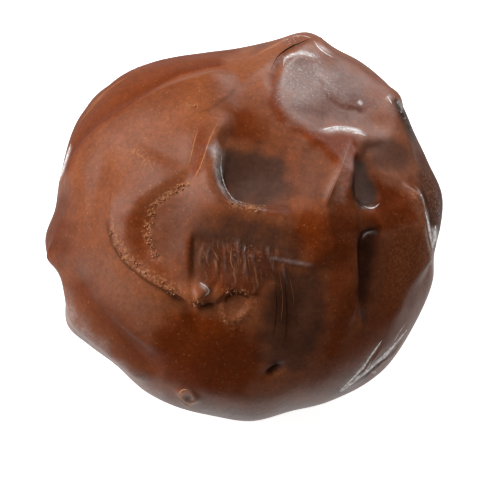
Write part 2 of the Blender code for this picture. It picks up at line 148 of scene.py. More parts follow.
# Lines on the crown that more than one finish follows, as (across, up) in mm.
OUTER_BREAK = [
    (-1, 12.3), (-2.6, 12.1), (-4.7, 11.6), (-5.9, 11), (-7.6, 9.9), (-9.4, 8.7), (-10.8, 7.8),
    (-11.9, 6.8), (-12.9, 5.4), (-13.7, 3.5),
]
INNER_STREAK = [(10.3, -8.5), (9.4, -9.9), (8.4, -11.2), (7.2, -12.4)]
OUTER_STREAK = [(12.3, -7.8), (10.9, -9.4), (9.4, -10.7), (7.3, -12.45)]
STUCK_CRUMB = [(-4.95, -12.4), (-4.3, -12.1), (-3.6, -12.6), (-3.5, -13.3), (-4.3, -13.8)]


def smooth(x):
    """0 below 0, 1 above 1, and a smooth rise between."""
    x = np.clip(x, 0.0, 1.0)
    return x * x * (3.0 - 2.0 * x)


def bell(x):
    """1 at 0, fading evenly to both sides."""
    return np.exp(-x * x)


def unit(v):
    """The same directions, one long."""
    return v / np.linalg.norm(v, axis=-1, keepdims=True)


def crown_axes():
    """Rows: across, up and out of the crown, as world directions."""
    e = math.radians(CROWN_ELEVATION)
    return np.array([[1, 0, 0], [0, math.sin(e), math.cos(e)], [0, -math.cos(e), math.sin(e)]])


def far(bearing, reach):
    """A direction from its bearing round the crown and its angle from the crown's axis, in degrees."""
    b, r = math.radians(bearing), math.radians(reach)
    return (math.cos(b) * math.sin(r), math.sin(b) * math.sin(r), math.cos(r))


def directions_of(places):
    """Unit vectors of places: (across, up) in mm, or a direction as far() gives it."""
    found = []
    for place in places:
        if len(place) == 3:
            found.append(place)
            continue
        out = min(1.0, math.hypot(*place) / HALF_WIDTH)
        plain = CROWN_RADIUS + (HALF_WIDTH - CROWN_RADIUS) * out * out
        x, y = place[0] / plain, place[1] / plain
        found.append((x, y, math.sqrt(max(0.0, 1.0 - x * x - y * y))))
    return unit(np.array(found, float))


def stroke(places):
    """Points, tangents and lengths along a smooth curve over the ball through the places."""
    knots = directions_of(places)
    ends = np.vstack([2 * knots[0] - knots[1], knots, 2 * knots[-1] - knots[-2]])
    points = []
    for a, b, c, d in zip(ends, ends[1:], ends[2:], ends[3:]):
        count = max(2, math.ceil(np.linalg.norm(c - b) * HALF_WIDTH / PATH_STEP))
        for t in np.arange(count)[:, None] / count:
            bend = 2 * a - 5 * b + 4 * c - d + t * (3 * (b - c) + d - a)
            points.append(b + 0.5 * t * (c - a + t * bend))
    points = unit(np.vstack(points + [knots[-1:]]))
    tangents = unit(np.gradient(points, axis=0))
    steps = np.linalg.norm(np.diff(points, axis=0), axis=1) * HALF_WIDTH
    return points, tangents, np.concatenate([[0.0], np.cumsum(steps)])


def vary(value, share):
    """A size along a stroke: one number, or several spread evenly from its start to its end."""
    if np.isscalar(value):
        return value
    sizes = np.array(value, float)
    at = np.clip(share, 0, 1) * (len(sizes) - 1)
    i = np.minimum(at.astype(int), len(sizes) - 2)
    t = smooth(at - i)
    return sizes[i] * (1 - t) + sizes[i + 1] * t


def plain_radius(world):
    """The plain ball's radius for world directions."""
    return 1 / np.sqrt((world[:, :2] ** 2).sum(1) / HALF_WIDTH**2 + world[:, 2] ** 2 / HALF_HEIGHT**2)


class Shell:
    """The surface: a radius, and a small sideways slide, for each of many directions in crown axes."""

    def __init__(self, directions):
        self.directions = directions
        self.radius = plain_radius(directions @ crown_axes())
        self.slide = np.zeros_like(directions)

    def fit_rim(self, in_front, behind):
        """Brings the outline round the crown to RIM, fading over these angles before and behind it."""
        bearing = np.degrees(np.arctan2(self.directions[:, 1], self.directions[:, 0])) % 360
        at, radius = np.array(RIM, float).T
        at, radius = np.concatenate([at - 360, at, at + 360]), np.tile(radius, 3)
        slope = np.gradient(radius, at)
        i = np.searchsorted(at, bearing, side="right") - 1
        span = at[i + 1] - at[i]
        t = (bearing - at[i]) / span
        wanted = (
            radius[i] * (1 + 2 * t) * (1 - t) ** 2
            + radius[i + 1] * t * t * (3 - 2 * t)
            + span * t * (1 - t) * (slope[i] * (1 - t) - slope[i + 1] * t)
        )
        flat = np.stack([np.cos(np.radians(bearing)), np.sin(np.radians(bearing)), 0 * bearing], 1)
        world = flat @ crown_axes()
        plain = plain_radius(world)
        past = np.degrees(np.arccos(np.clip(self.directions[:, 2], -1, 1))) - 90
        share = bell(past / np.where(past < 0, in_front, behind))
        self.radius += (wanted - plain) * share

    def along(self, places, limit):
        """The points within limit mm of a stroke.

        Gives their numbers, distance to its right, place along it in mm, share of its length, and the
        rightward direction at each.
        """
        points, tangents, lengths = stroke(places)
        rights = np.cross(tangents, points)
        middle = unit(points.mean(0))
        widest = math.acos(np.clip((points @ middle).min(), -1, 1)) + limit / HALF_WIDTH
        near = np.flatnonzero(self.directions @ middle > math.cos(min(widest, math.pi)))
        near = near[(self.directions[near] @ points.T).max(1) > math.cos(limit / HALF_WIDTH)]
        d = self.directions[near]
        apart = 2 * (1 - d @ points.T) * HALF_WIDTH**2
        least = apart.min(1, keepdims=True)
        answering = NEAREST + SPREAD * np.sqrt(np.clip(least, 0, None))
        weight = np.exp(-(apart - least) / (2 * answering**2))
        weight /= weight.sum(1, keepdims=True)
        ahead = (weight * (d @ tangents.T)).sum(1) * HALF_WIDTH
        aside = (weight * (d @ rights.T)).sum(1) * HALF_WIDTH
        place = weight @ lengths + ahead
        return near, aside, place, place / lengths[-1], weight @ rights

    def ends(self, place, share, start, stop):
        """1 along the stroke, fading to 0 over its first and last millimetres and past its ends."""
        left = place / np.where(share == 0, 1, share) * (1 - share)
        return smooth(place / start) * smooth(left / stop)

    def crest(self, places, height, left, right, start=2.0, stop=2.0, sharp=0.0, lean=0.0):
        """A ridge (or, below 0, a groove) with its own width on each side. lean tips it to the right."""
        near, aside, place, share, across = self.along(places, 2.4 * max(np.max(left), np.max(right)))
        x = np.abs(aside) / np.where(aside < 0, vary(left, share), vary(right, share))
        profile = (1 - sharp) * bell(x) + sharp * np.exp(-1.6 * x) * bell(x / 2)
        profile *= self.ends(place, share, start, stop)
        self.radius[near] += vary(height, share) * profile
        self.slide[near] += (lean * profile)[:, None] * across

    def step(self, places, height, edge, reach, start=2.0, stop=2.0, lean=0.0, bead=0.0):
        """A layer with its edge along the stroke, raised to its right and fading over reach mm.

        bead swells its brow, and lean tips it over the lower side.
        """
        near, aside, place, share, across = self.along(places, 2.4 * np.max(reach))
        wide = vary(edge, share)
        shown = self.ends(place, share, start, stop)
        rise = smooth(aside / wide + 0.5) * bell(np.clip(aside - wide, 0, None) / vary(reach, share))
        brow = bell((aside - 0.5 * wide) / (1.2 * wide)) * shown
        self.radius[near] += vary(height, share) * rise * shown + bead * brow
        self.slide[near] -= (lean * brow)[:, None] * across

    def patch(self, middle, across, up, turn=0.0, power=2.0):
        """1 at middle, fading over across (left, right) and up (down, up) mm, turned anticlockwise.

        A power over 2 gives it a flatter middle and a steeper edge.
        """
        centre = directions_of([middle])[0]
        side = unit(np.cross((0.0, 1.0, 0.0), centre))
        over = np.cross(centre, side)
        x = self.directions @ side * HALF_WIDTH
        y = self.directions @ over * HALF_WIDTH
        a = math.radians(turn)
        u, v = x * math.cos(a) + y * math.sin(a), y * math.cos(a) - x * math.sin(a)
        rho = np.hypot(u / np.where(u < 0, *across), v / np.where(v < 0, *up))
        return np.where(self.directions @ centre > 0, np.exp(-(rho**power)), 0.0)

    def swell(self, middle, across, up, height, turn=0.0, power=2.0):
        """A rounded swelling, or, below 0, a hollow."""
        self.radius += height * self.patch(middle, across, up, turn, power)

    def scoop(self, middle, depth, hollow, blend, tilt=(0.0, 0.0)):
        """Cuts the ball with a large sphere of radius hollow, depth mm deep at middle.

        tilt turns the cut by (across, up) degrees.
        """
        centre = directions_of([middle])[0]
        side = unit(np.cross((0.0, 1.0, 0.0), centre))
        over = np.cross(centre, side)
        a, b = (math.tan(math.radians(t)) for t in tilt)
        normal = unit(centre + a * side + b * over)
        base = self.radius[(self.directions @ centre).argmax()] - depth
        ball = centre * base + normal * hollow
        along = self.directions @ ball
        inside = along**2 - (ball @ ball - hollow**2)
        cut = np.where((inside > 0) & (along > 0), along - np.sqrt(np.clip(inside, 0, None)), 99.0)
        over_cut = np.clip((self.radius - cut) / blend * 0.5 + 0.5, 0, 1)
        self.radius = self.radius * (1 - over_cut) + cut * over_cut - blend * over_cut * (1 - over_cut)

    def lumps(self, size, height, seed, share=1.0):
        """Low, even swellings about size mm across, from a few waves in seeded directions."""
        draw = np.random.default_rng(seed)
        waves = unit(draw.normal(size=(9, 3))) * (2 * math.pi * HALF_WIDTH / size / 2)
        shifts = draw.uniform(0, 2 * math.pi, 9)
        total = np.sin(self.directions @ waves.T + shifts).sum(1) / 3
        self.radius += height * share * total

    def points(self):
        """World places in mm, with the flat spot at height 0."""
        world = (self.directions * self.radius[:, None] + self.slide) @ crown_axes()
        world[:, 2] += SITS_AT
        return world


def outer_layer(shell):
    """The broad smooth face left of the swirl, and the break where it turns down to the side."""
    shell.crest(
        [(-14.0, 2.6), (-12.2, 5.9), (-9.5, 8.5), (-6.3, 10.5), (-3, 11.8), (-0.3, 12.4)], height=0.55,
        left=1.0, right=3.6, start=3, stop=3, sharp=0.35
    )
    shell.step(
        [(-13.4, 3.4), (-12.0, 6.1), (-9.4, 8.4), (-6.3, 10.4), (-3, 11.7), (-0.5, 12.3)],
        height=(0.05, 0.14, 0.18, 0.14, 0.06), edge=0.4, reach=3.5, start=2, stop=2
    )
    shell.crest(
        [(-9.6, 6.4), (-11.0, 3.5), (-11.2, 0.5), (-10.6, -2)], height=-0.25, left=1.2, right=1.2,
        start=3, stop=2
    )


def swirl(shell):
    """The crescent left by the last stroke: its inner edge, its sharper outer edge, and its blunt tip."""
    shell.step(
        [(3.0, 13.4), (1.4, 12.6), (0, 11.2), (-1.2, 9.8), (-2.6, 8.5), (-3.4, 7.2), (-3.8, 5.6),
        (-4.1, 4.4), (-4.8, 3.5), (-5.8, 2.8), (-6.9, 1.9), (-7.6, 0.4), (-7.7, -1.0), (-7.2, -2.3),
        (-6.2, -3.2), (-5.0, -4.0), (-4.0, -4.8)],
        height=(0.08, 0.1, 0.08, 0.1, 0.2, 0.45, 0.5, 0.4, 0.25),
        edge=(0.8, 1.0, 1.2, 1.1, 1.1, 1.6, 1.8, 1.3, 0.9), reach=(2, 4, 5, 5, 4.5, 3, 2, 1.6, 1.0),
        start=2, stop=1.5
    )
    shell.step(
        [(-3.2, -5.6), (-4.1, -4.8), (-5.5, -4.05), (-7.1, -3.2), (-8.3, -2.2), (-9.1, -1.1), (-9.5, 0.3),
        (-9.6, 2.4), (-8.8, 5.0)], height=(0.75, 0.75, 0.6, 0.4, 0.15), edge=(0.3, 0.3, 0.4, 0.7, 1.4),
        reach=(1.6, 1.8, 2.2, 3.0, 3.5), start=0.5, stop=4, lean=0.18, bead=0.06
    )
    shell.swell((-3.6, -4.8), across=(1.1, 0.9), up=(0.6, 0.8), height=0.17, turn=-40)
    shell.swell((-5.3, -0.6), across=(1.8, 1.8), up=(2.6, 2.6), height=-0.2)


def central_hollow(shell):
    """The deep hollow in the crown's middle, walled on its left and below, open right and above."""
    shell.swell((1.0, 4.2), across=(3.6, 4.6), up=(3.2, 4.8), height=-1.3, turn=-15, power=2.2)
    shell.step(
        [(0.9, 10.4), (-0.4, 9.0), (-1.4, 7.6), (-1.8, 6.4), (-1.85, 5.2), (-1.95, 4.3), (-1.8, 3.4),
        (-1.4, 2.6), (-0.9, 2.0), (-0.2, 1.75), (1.0, 1.5), (2.4, 1.35), (3.8, 1.2), (5.0, 1.0)],
        height=(0.0, 0.15, 0.7, 1.1, 1.1, 0.9, 0.45, 0.1), edge=(2.4, 1.8, 0.9, 0.5, 0.4, 0.35, 0.9, 2.2),
        reach=(1.5, 2.2, 2.0, 1.4, 1.6, 1.6, 2.0, 2.0), start=3, stop=2.5
    )
    shell.crest(
        [(-0.6, 8.6), (-1.6, 7.6), (-2.4, 6.5), (-2.75, 5.5), (-3.0, 4.6), (-3.4, 3.6)], height=0.07,
        left=0.3, right=0.3, start=2.5, stop=1
    )


def tall_ridge(shell):
    """The ridge right of the hollow, its top fold, and the column that it runs down into."""
    head = [(7.9, 7.0), (7.2, 5.1), (6.6, 3.7), (6.1, 2.4), (5.9, 1.4)]
    shell.crest(
        head + [(6.1, 0.0), (6.5, -1.6), (6.9, -3.4)], height=(0.7, 0.95, 1.0, 0.9, 0.6, 0.35),
        left=(1.4, 1.8, 2.0, 2.2, 2.0, 1.4), right=(1.7, 1.8, 1.8), start=1.0, stop=3, sharp=0.35
    )
    shell.crest(head, height=(0.05, 0.16, 0.18, 0.12), left=0.35, right=0.25, start=0.8, stop=0.8)
    shell.crest(
        [(3.8, 7.0), (5.2, 6.85), (6.3, 7.0), (7.2, 7.1), (8.1, 6.9), (8.9, 6.4)],
        height=(0.0, 0.35, 0.75, 0.55), left=0.6, right=0.7, start=1.5, stop=1
    )
    shell.step(
        [(7.95, 1.7), (7.95, 0.6), (8.0, -0.5), (8.15, -2.5), (8.2, -4.5), (8.0, -6.0), (7.6, -7.8)],
        height=(0.05, 0.2, 0.4, 0.45, 0.3, 0.1), edge=(0.6, 0.4, 0.3, 0.5, 1.2), reach=1.6, start=2.0,
        stop=2, lean=0.12
    )
    shell.crest(
        [(6.0, -1.6), (6.0, -3.5), (6.0, -6), (5.7, -8), (4.8, -9.8)], height=-0.22, left=1.6, right=0.9,
        start=2
    )


def right_hollows(shell):
    """The two deep hollows under the ridge's right edge, and the arm between the upper one and the side."""
    shell.swell((9.1, 3.9), across=(1.4, 2.4), up=(2.6, 2.4), height=-0.75, turn=-8)
    shell.step(
        [(9.4, 6.1), (8.5, 5.4), (7.95, 4.4), (7.75, 3.2), (7.85, 2.3), (8.3, 1.5), (9.1, 1.25),
        (10.4, 1.6)], height=(0.1, 0.5, 0.9, 1.0, 0.9, 0.55, 0.15),
        edge=(1.0, 0.5, 0.35, 0.3, 0.3, 0.35, 0.9), reach=(1.0, 0.9, 0.9, 1.0, 1.2, 1.4), start=1.2,
        stop=1.5
    )
    shell.crest([(8.6, 5.7), (9.3, 6.2), (10.3, 6.4), (11.2, 6.3)], height=-0.2, left=0.8, right=0.8)
    shell.crest(
        [(9.6, 4.9), (10.4, 4.0), (11.4, 3.35), (12.6, 3.1)], height=0.2, left=0.9, right=1.3, start=1.5
    )
    shell.crest(
        [(8.8, -0.6), (8.75, -1.6), (8.75, -3.2), (8.7, -5), (8.4, -7.6)],
        height=(-0.45, -0.75, -0.8, -0.6, -0.15), left=(1.4, 1.6, 1.5), right=0.45, start=1.2, stop=2
    )
    shell.step(
        [(10.8, -0.4), (10.2, -0.2), (9.4, -0.05), (8.7, -0.3), (8.35, -1.0)], height=(0.0, 0.25, 0.3),
        edge=(0.9, 0.4, 0.35), reach=0.9, start=1.5, stop=0.8
    )
    shell.step(
        [(11.7, 3.6), (12.5, 2.6), (12.9, 1.3), (13.15, 0), (13.5, -1.6), (13.8, -3.6)],
        height=(0.5, 0.9, 0.9, 0.7, 0.3), edge=0.5, reach=2.2, start=1.8, stop=2.5, bead=0.1
    )
    shell.crest(
        [(12, 1.8), (12.1, -1.5), (11.7, -4), (10.9, -6.2), (9.4, -8.2)], height=0.3, left=1.6,
        right=1.4, stop=3
    )


def brushed_patch(shell):
    """The shallow wrinkled patch below the hollow, where the stroke ended, and its broken lower edge."""
    shell.swell((-0.9, -2.4), across=(3.2, 5.0), up=(2.2, 2.6), height=-0.4, turn=-8)
    shell.step(
        [(-3.3, -4.8), (-3.75, -3.6), (-3.9, -2.2), (-3.85, -1.0), (-3.4, 0.2)],
        height=(-0.1, -0.2, -0.2, -0.1), edge=(0.5, 0.4, 0.5, 0.9), reach=1.4, start=1.5, stop=1.5
    )
    shell.step(
        [(1.5, -5.1), (0.7, -4.9), (0.1, -4.65), (-0.5, -4.45), (-1.1, -4.55), (-1.65, -4.95),
        (-2.1, -5.3), (-2.6, -5.25), (-3.1, -5.5)], height=(0.0, 0.25, 0.4, 0.4, 0.35, 0.5), edge=0.28,
        reach=1.0, start=1.2, stop=0.4, lean=0.1
    )
    shell.swell((-0.55, -5.5), across=(0.8, 0.85), up=(0.75, 0.65), height=-0.34, power=3.0)
    shell.swell((-0.5, -5.6), across=(0.4, 0.45), up=(0.35, 0.35), height=0.14)
    shell.crest(
        [(-1.75, -5.3), (-1.5, -5.9), (-1.2, -6.4), (-0.6, -6.65), (0.0, -6.35), (0.45, -5.7)],
        height=(0.16, 0.14, 0.1), left=0.3, right=0.25, start=0.5, stop=0.8
    )
    shell.swell((3.9, -5.8), across=(2.4, 1.8), up=(3.4, 2.4), height=-0.5)
    shell.crest(
        [(1.0, -1.8), (2.2, -2.2), (3.5, -2.55), (5.0, -2.8), (6.4, -2.7)], height=0.2, left=0.8,
        right=0.35, start=1.5, stop=1.5
    )


def front_face(shell):
    """The plain lower faces, the soft ridges between them, a pit, and the crumb stuck near the foot."""
    shell.scoop((0.3, -10.0), depth=0.45, hollow=60, blend=0.5)
    shell.swell((-8.8, -5.6), across=(3.4, 3.6), up=(3.4, 3.2), height=0.35, turn=-35)
    shell.crest(
        [(-3.8, -5.9), (-5.1, -6.4), (-6.4, -7.6), (-7.1, -9.2)], height=0.4, left=1.7, right=2.6,
        start=1, stop=2
    )
    shell.crest(
        [(-14.6, -1.6), (-13.6, -4.0), (-12.6, -6.2), (-10.8, -8.2), (-8.6, -10.2), (-6.6, -11.8)],
        height=(0.4, 0.5, 0.4), left=1.3, right=1.4, start=1
    )
    shell.crest(
        [(-13.2, -2.2), (-12.0, -4.7), (-10.8, -6.2), (-9.2, -7.8), (-7.5, -9.6), (-5.9, -11.0)],
        height=(-0.15, -0.3, -0.3, -0.2), left=1.2, right=0.8
    )
    shell.swell((2.2, -10.6), across=(0.8, 0.8), up=(0.35, 0.35), height=-0.45, turn=50)
    shell.swell((-4.1, -12.45), across=(0.7, 0.7), up=(0.8, 0.7), height=0.55, power=3.0)
    shell.swell((-4.0, -12.4), across=(0.35, 0.3), up=(0.4, 0.35), height=-0.5)
    shell.crest([(10.4, -8.4), (9.4, -9.7), (8.5, -11.0), (7.6, -12.2)], height=0.14, left=0.5, right=0.3)
    shell.crest(
        [(12.1, -8.1), (11.3, -9.1), (10.1, -10.0), (8.9, -11.1), (7.7, -12.2)], height=0.14, left=0.35,
        right=0.5
    )


def top_facet(shell):
    """The broad scooped facet at the top right, the thin layer lapping over it, and the peak above it."""
    shell.scoop((6.2, 10.1), depth=0.85, hollow=42, blend=0.5)
    shell.step(
        [(8.9, 9.6), (8.1, 10.1), (7.3, 10.8), (6.4, 11.7), (5.2, 12.9)], height=(0.1, 0.09, 0.06, 0.02),
        edge=0.6, reach=(0.6, 1.4, 2.4, 2.6), start=0.5
    )
    shell.swell((9.2, 9.8), across=(0.8, 0.3), up=(0.3, 0.3), height=0.16, turn=-40)
    shell.swell((10.4, 8.0), across=(1.5, 1.4), up=(1.2, 1.2), height=-0.2, turn=30)
    shell.crest(
        [(5.1, 14.6), (5.6, 13.8), (6.3, 13.3), (7.4, 12.9)], height=0.3, left=0.5, right=0.8, start=1
    )
    shell.crest([(4.6, 14.2), (3.2, 13.4), (2.5, 12.4), (2.1, 11.0)], height=-0.15, left=0.5, right=0.7)
    shell.crest(
        [(3.0, 12.0), (3.1, 12.9), (3.7, 13.3), (4.6, 13.4), (6.1, 13.0)], height=0.08, left=0.3, right=0.4
    )
    shell.step(
        [(10.9, 10.6), (11.6, 9.1), (12.0, 8.0), (12.8, 6), (13.4, 4.2)], height=(0.3, 0.5, 0.4, 0.25),
        edge=0.6, reach=2.0, stop=3, bead=0.05
    )


def back_and_foot(shell):
    """What the crown's stroke leaves on the far side."""
    shell.crest(
        [far(75, 95), far(70, 120), far(85, 140)], height=0.5, left=2.5, right=3.5, start=3, stop=4
    )
    shell.crest(
        [far(130, 95), far(150, 115), far(185, 125)], height=0.45, left=3, right=2.5, start=3, stop=4
    )
    shell.crest([far(20, 100), far(5, 120), far(340, 125)], height=0.45, left=3, right=3, start=3, stop=4)


def shaped(shell):
    """The shell with every stroke of the crown, the front and the back laid on it."""
    shell.fit_rim(in_front=22, behind=40)
    behind = smooth((0.35 - shell.directions[:, 2]) / 0.7)
    shell.lumps(size=11, height=0.18, seed=5, share=0.35 + 0.65 * behind)
    for feature in (
        outer_layer, swirl, central_hollow, tall_ridge, right_hollows, brushed_patch,
        front_face, top_facet, back_and_foot,
    ):
        feature(shell)
    return shell


def crowded(directions):
    """The same directions drawn towards the crown, which has the finest relief."""
    reach = np.arccos(np.clip(directions[:, 2], -1, 1))
    drawn = reach - CROWN_CROWDING * np.sin(reach)
    flat = unit(directions[:, :2] + 1e-12)
    return np.column_stack([flat * np.sin(drawn)[:, None], np.cos(drawn)])


class Skin(Shell):
    """The shell with its finish, each kind from 0 to 1 at every point.

    scuff: dragged and broken, rough and pale; dark: painted shade, the cooler, darker brown of the hollows
    and of the sides turned from the light; gloss: set smooth; deep: painted warm shade, a warmer, darker
    brown with less shine; frost: painted highlights and sheen on rims and smooth skins; brushed: streaked by
    the last stroke; crease: painted shade, near black, in the sharpest folds; glints: dotted with tiny
    painted highlights;
    flake: a loose flake or a hair-thin edge, where the scuff is even and painted highlights glow.
    """

    FINISH = ("scuff", "dark", "deep", "gloss", "painted_highlight", "brushed", "crease_shade", "glints", "flake")

    def __init__(self, directions):
        super().__init__(directions)
        self.finish = {name: np.zeros(len(directions)) for name in self.FINISH}
        self.facing = smooth(1 + directions[:, 2] / RIM_FADE)

    def line(self, name, places, amount, left, right, start=1.0, stop=1.0):
        """Gives a finish along a line of (across, up) places on the crown, so wide on each side."""
        place = self.directions[:, :2] * self.radius[:, None]
        places = np.array(places, float)
        apart = np.full(len(place), np.inf)
        aside = np.zeros(len(place))
        along = np.zeros(len(place))
        gone = 0.0
        for a, b in zip(places, places[1:]):
            span = b - a
            length = np.linalg.norm(span)
            t = np.clip((place - a) @ span / length**2, 0, 1)
            off = place - a - t[:, None] * span
            distance = np.linalg.norm(off, axis=1)
            nearer = distance < apart
            apart[nearer] = distance[nearer]
            aside[nearer] = (off @ np.array([span[1], -span[0]]))[nearer]
            along[nearer] = (gone + t * length)[nearer]
            gone += length
        shown = amount * bell(apart / np.where(aside < 0, left, right))
        shown *= smooth(along / start) * smooth((gone - along) / stop) * self.facing
        self.finish[name] = np.maximum(self.finish[name], shown)

    def region(self, name, corners, amount, soft):
        """Gives a finish inside an outline of (across, up) places, fading over soft mm about its edge."""
        place = self.directions[:, :2] * self.radius[:, None]
        x, y = place.T
        corners = np.array(corners, float)
        apart = np.full(len(place), np.inf)
        inside = np.zeros(len(place), bool)
        for a, b in zip(corners, np.roll(corners, -1, axis=0)):
            span = b - a
            t = np.clip((place - a) @ span / (span @ span), 0, 1)
            apart = np.minimum(apart, np.linalg.norm(place - a - t[:, None] * span, axis=1))
            if a[1] != b[1]:
                crosses = (a[1] > y) != (b[1] > y)
                inside ^= crosses & (x < a[0] + (y - a[1]) / span[1] * span[0])
        signed = np.where(inside, apart, -apart)
        signed += WANDER * min(soft, 1.0) * np.sin(2.1 * x + 1.3 * y) * np.sin(1.2 * x - 2.6 * y + 1)
        shown = amount * smooth(signed / soft / 2 + 0.5) * self.facing
        self.finish[name] = np.maximum(self.finish[name], shown)


def wrinkles(skin):
    """The fine, uneven wrinkles that the last stroke dragged into the patch below the hollow, each with a
    faint painted highlight.
    """
    draw = np.random.default_rng(23)
    at = -2.9
    while at < 3.0:
        top = -1.3 + draw.uniform(-0.5, 0.6) - 0.25 * max(at, 0)
        foot = top - draw.uniform(0.9, 3.0)
        drift = 0.25 + 0.12 * at + draw.uniform(-0.25, 0.35)
        bend = draw.uniform(-0.25, 0.2)
        course = [(at, top), (at + drift * 0.35 + bend, (top + foot) / 2), (at + drift, foot)]
        skin.crest(
            course, height=(0.01, draw.uniform(0.03, 0.11), 0.02), left=draw.uniform(0.08, 0.16),
            right=draw.uniform(0.12, 0.35), start=0.6, stop=0.9
        )
        painted_highlight_amount = draw.uniform(0.0, 0.12)
        skin.line(
            "painted_highlight", course, amount=painted_highlight_amount, left=0.05, right=draw.uniform(0.05, 0.08), start=0.4, stop=0.8
        )
        at += draw.uniform(0.12, 0.6)


def rubbed_edges(skin):
    """Where the chocolate dragged and broke, its edges set rough and pale."""
    # The broad left face and the side
    skin.region(
        "scuff", [(-10.2, 13.2), (-8.0, 13.2), (-6.8, 12.4), (-9.0, 11.8), (-10.6, 12)],
        amount=0.5, soft=0.4
    )
    # The swirl
    skin.line(
        "scuff", [(-3.5, 7.2), (-3.8, 6.2), (-3.9, 5.2), (-4.3, 4.1)], amount=0.4, left=0.1, right=0.12
    )
    skin.line(
        "scuff", [(-1.8, 8.0), (-2.5, 6.6), (-2.9, 5.4), (-3.3, 4.2), (-4.0, 3.2)],
        amount=0.46, left=0.1, right=0.12
    )
    skin.line("scuff", [(-4.9, 9.1), (-3.8, 9.0), (-2.6, 8.9)], amount=0.5, left=0.2, right=0.2)
    skin.line(
        "scuff", [(-8.9, 6.0), (-7.8, 5.4), (-6.7, 4.6), (-6.3, 3.8)], amount=0.45, left=0.35, right=0.5
    )
    skin.line(
        "scuff", [(-3.4, 3.4), (-4.3, 3.1), (-5.6, 2.4), (-6.7, 1.5), (-7.1, 0.4), (-7.1, -1.0),
        (-6.6, -2.2), (-5.9, -2.8)], amount=0.9, left=0.25, right=0.25
    )
    skin.line(
        "scuff", [(-9.9, 0.6), (-9.4, -1.2), (-8.6, -2.4), (-7.2, -3.5), (-5.5, -4.5), (-4.1, -5.4)],
        amount=0.7, left=0.5, right=0.2
    )
    # The hollow and its rim
    skin.line(
        "scuff", [(-1.6, 2.2), (-0.8, 1.6), (0.3, 1.35), (1.9, 1.25)], amount=0.9, left=0.2, right=0.25
    )
    # The wrinkled patch and the tip
    skin.line("scuff", [(-4.2, -5.6), (-3.4, -5.6), (-2.6, -5.2)], amount=0.9, left=0.4, right=0.4)
    skin.line(
        "scuff", [(0.5, -4.95), (-0.1, -4.65), (-0.6, -4.6), (-1.15, -4.7), (-1.8, -5.15)],
        amount=0.9, left=0.15, right=0.2, start=0.3
    )
    # The far right layer and its break
    skin.line(
        "scuff", [(12.9, 3.2), (13.7, 1.4), (14.0, -0.4), (14.3, -2.0)], amount=0.4, left=0.25, right=0.15
    )
    skin.region(
        "scuff", [(13.2, 4.6), (14.6, 3.6), (15.0, 1.5), (14.7, 0.6), (13.8, 1.6)], amount=0.36, soft=0.3
    )
    skin.region(
        "scuff", [(12.2, 3.0), (13.2, 2.4), (14.0, -1.0), (14.2, -3.4), (13.6, -3.4), (13.2, 0.5)],
        amount=0.42, soft=0.25
    )
    skin.line(
        "scuff", [(12.6, 6.6), (13.8, 4.0), (14.5, 1.0), (14.7, -1.6)], amount=0.25, left=0.6, right=0.6
    )
    skin.line(
        "scuff", [(13.2, -0.5), (13.6, -2.5), (13.6, -4.5), (12.9, -6.5)],
        amount=0.35, left=0.6, right=0.8
    )
    skin.region(
        "scuff", [(11.0, 0.8), (13.0, 0.2), (13.4, -4.0), (12.2, -6.8), (10.8, -5.2), (10.7, -2.0)],
        amount=0.2, soft=0.7
    )
    # The front face and the foot
    skin.line(
        "scuff", [(-1.75, -5.9), (-1.45, -6.7), (-1.05, -7.4)],
        amount=0.9, left=0.14, right=0.16, start=0.3, stop=0.6
    )
    skin.line(
        "scuff", [(-1.3, -6.7), (-0.6, -6.95), (0.1, -6.6), (0.5, -5.9)], amount=0.6, left=0.3, right=0.2
    )
    skin.region("scuff", [(-2.4, -5.9), (-0.8, -8.0), (1.2, -6.4), (0.8, -4.8)], amount=0.25, soft=0.6)
    # The crumb near the foot
    skin.region("scuff", STUCK_CRUMB, amount=0.41, soft=0.2)
    skin.region("flake", STUCK_CRUMB, amount=0.9, soft=0.15)


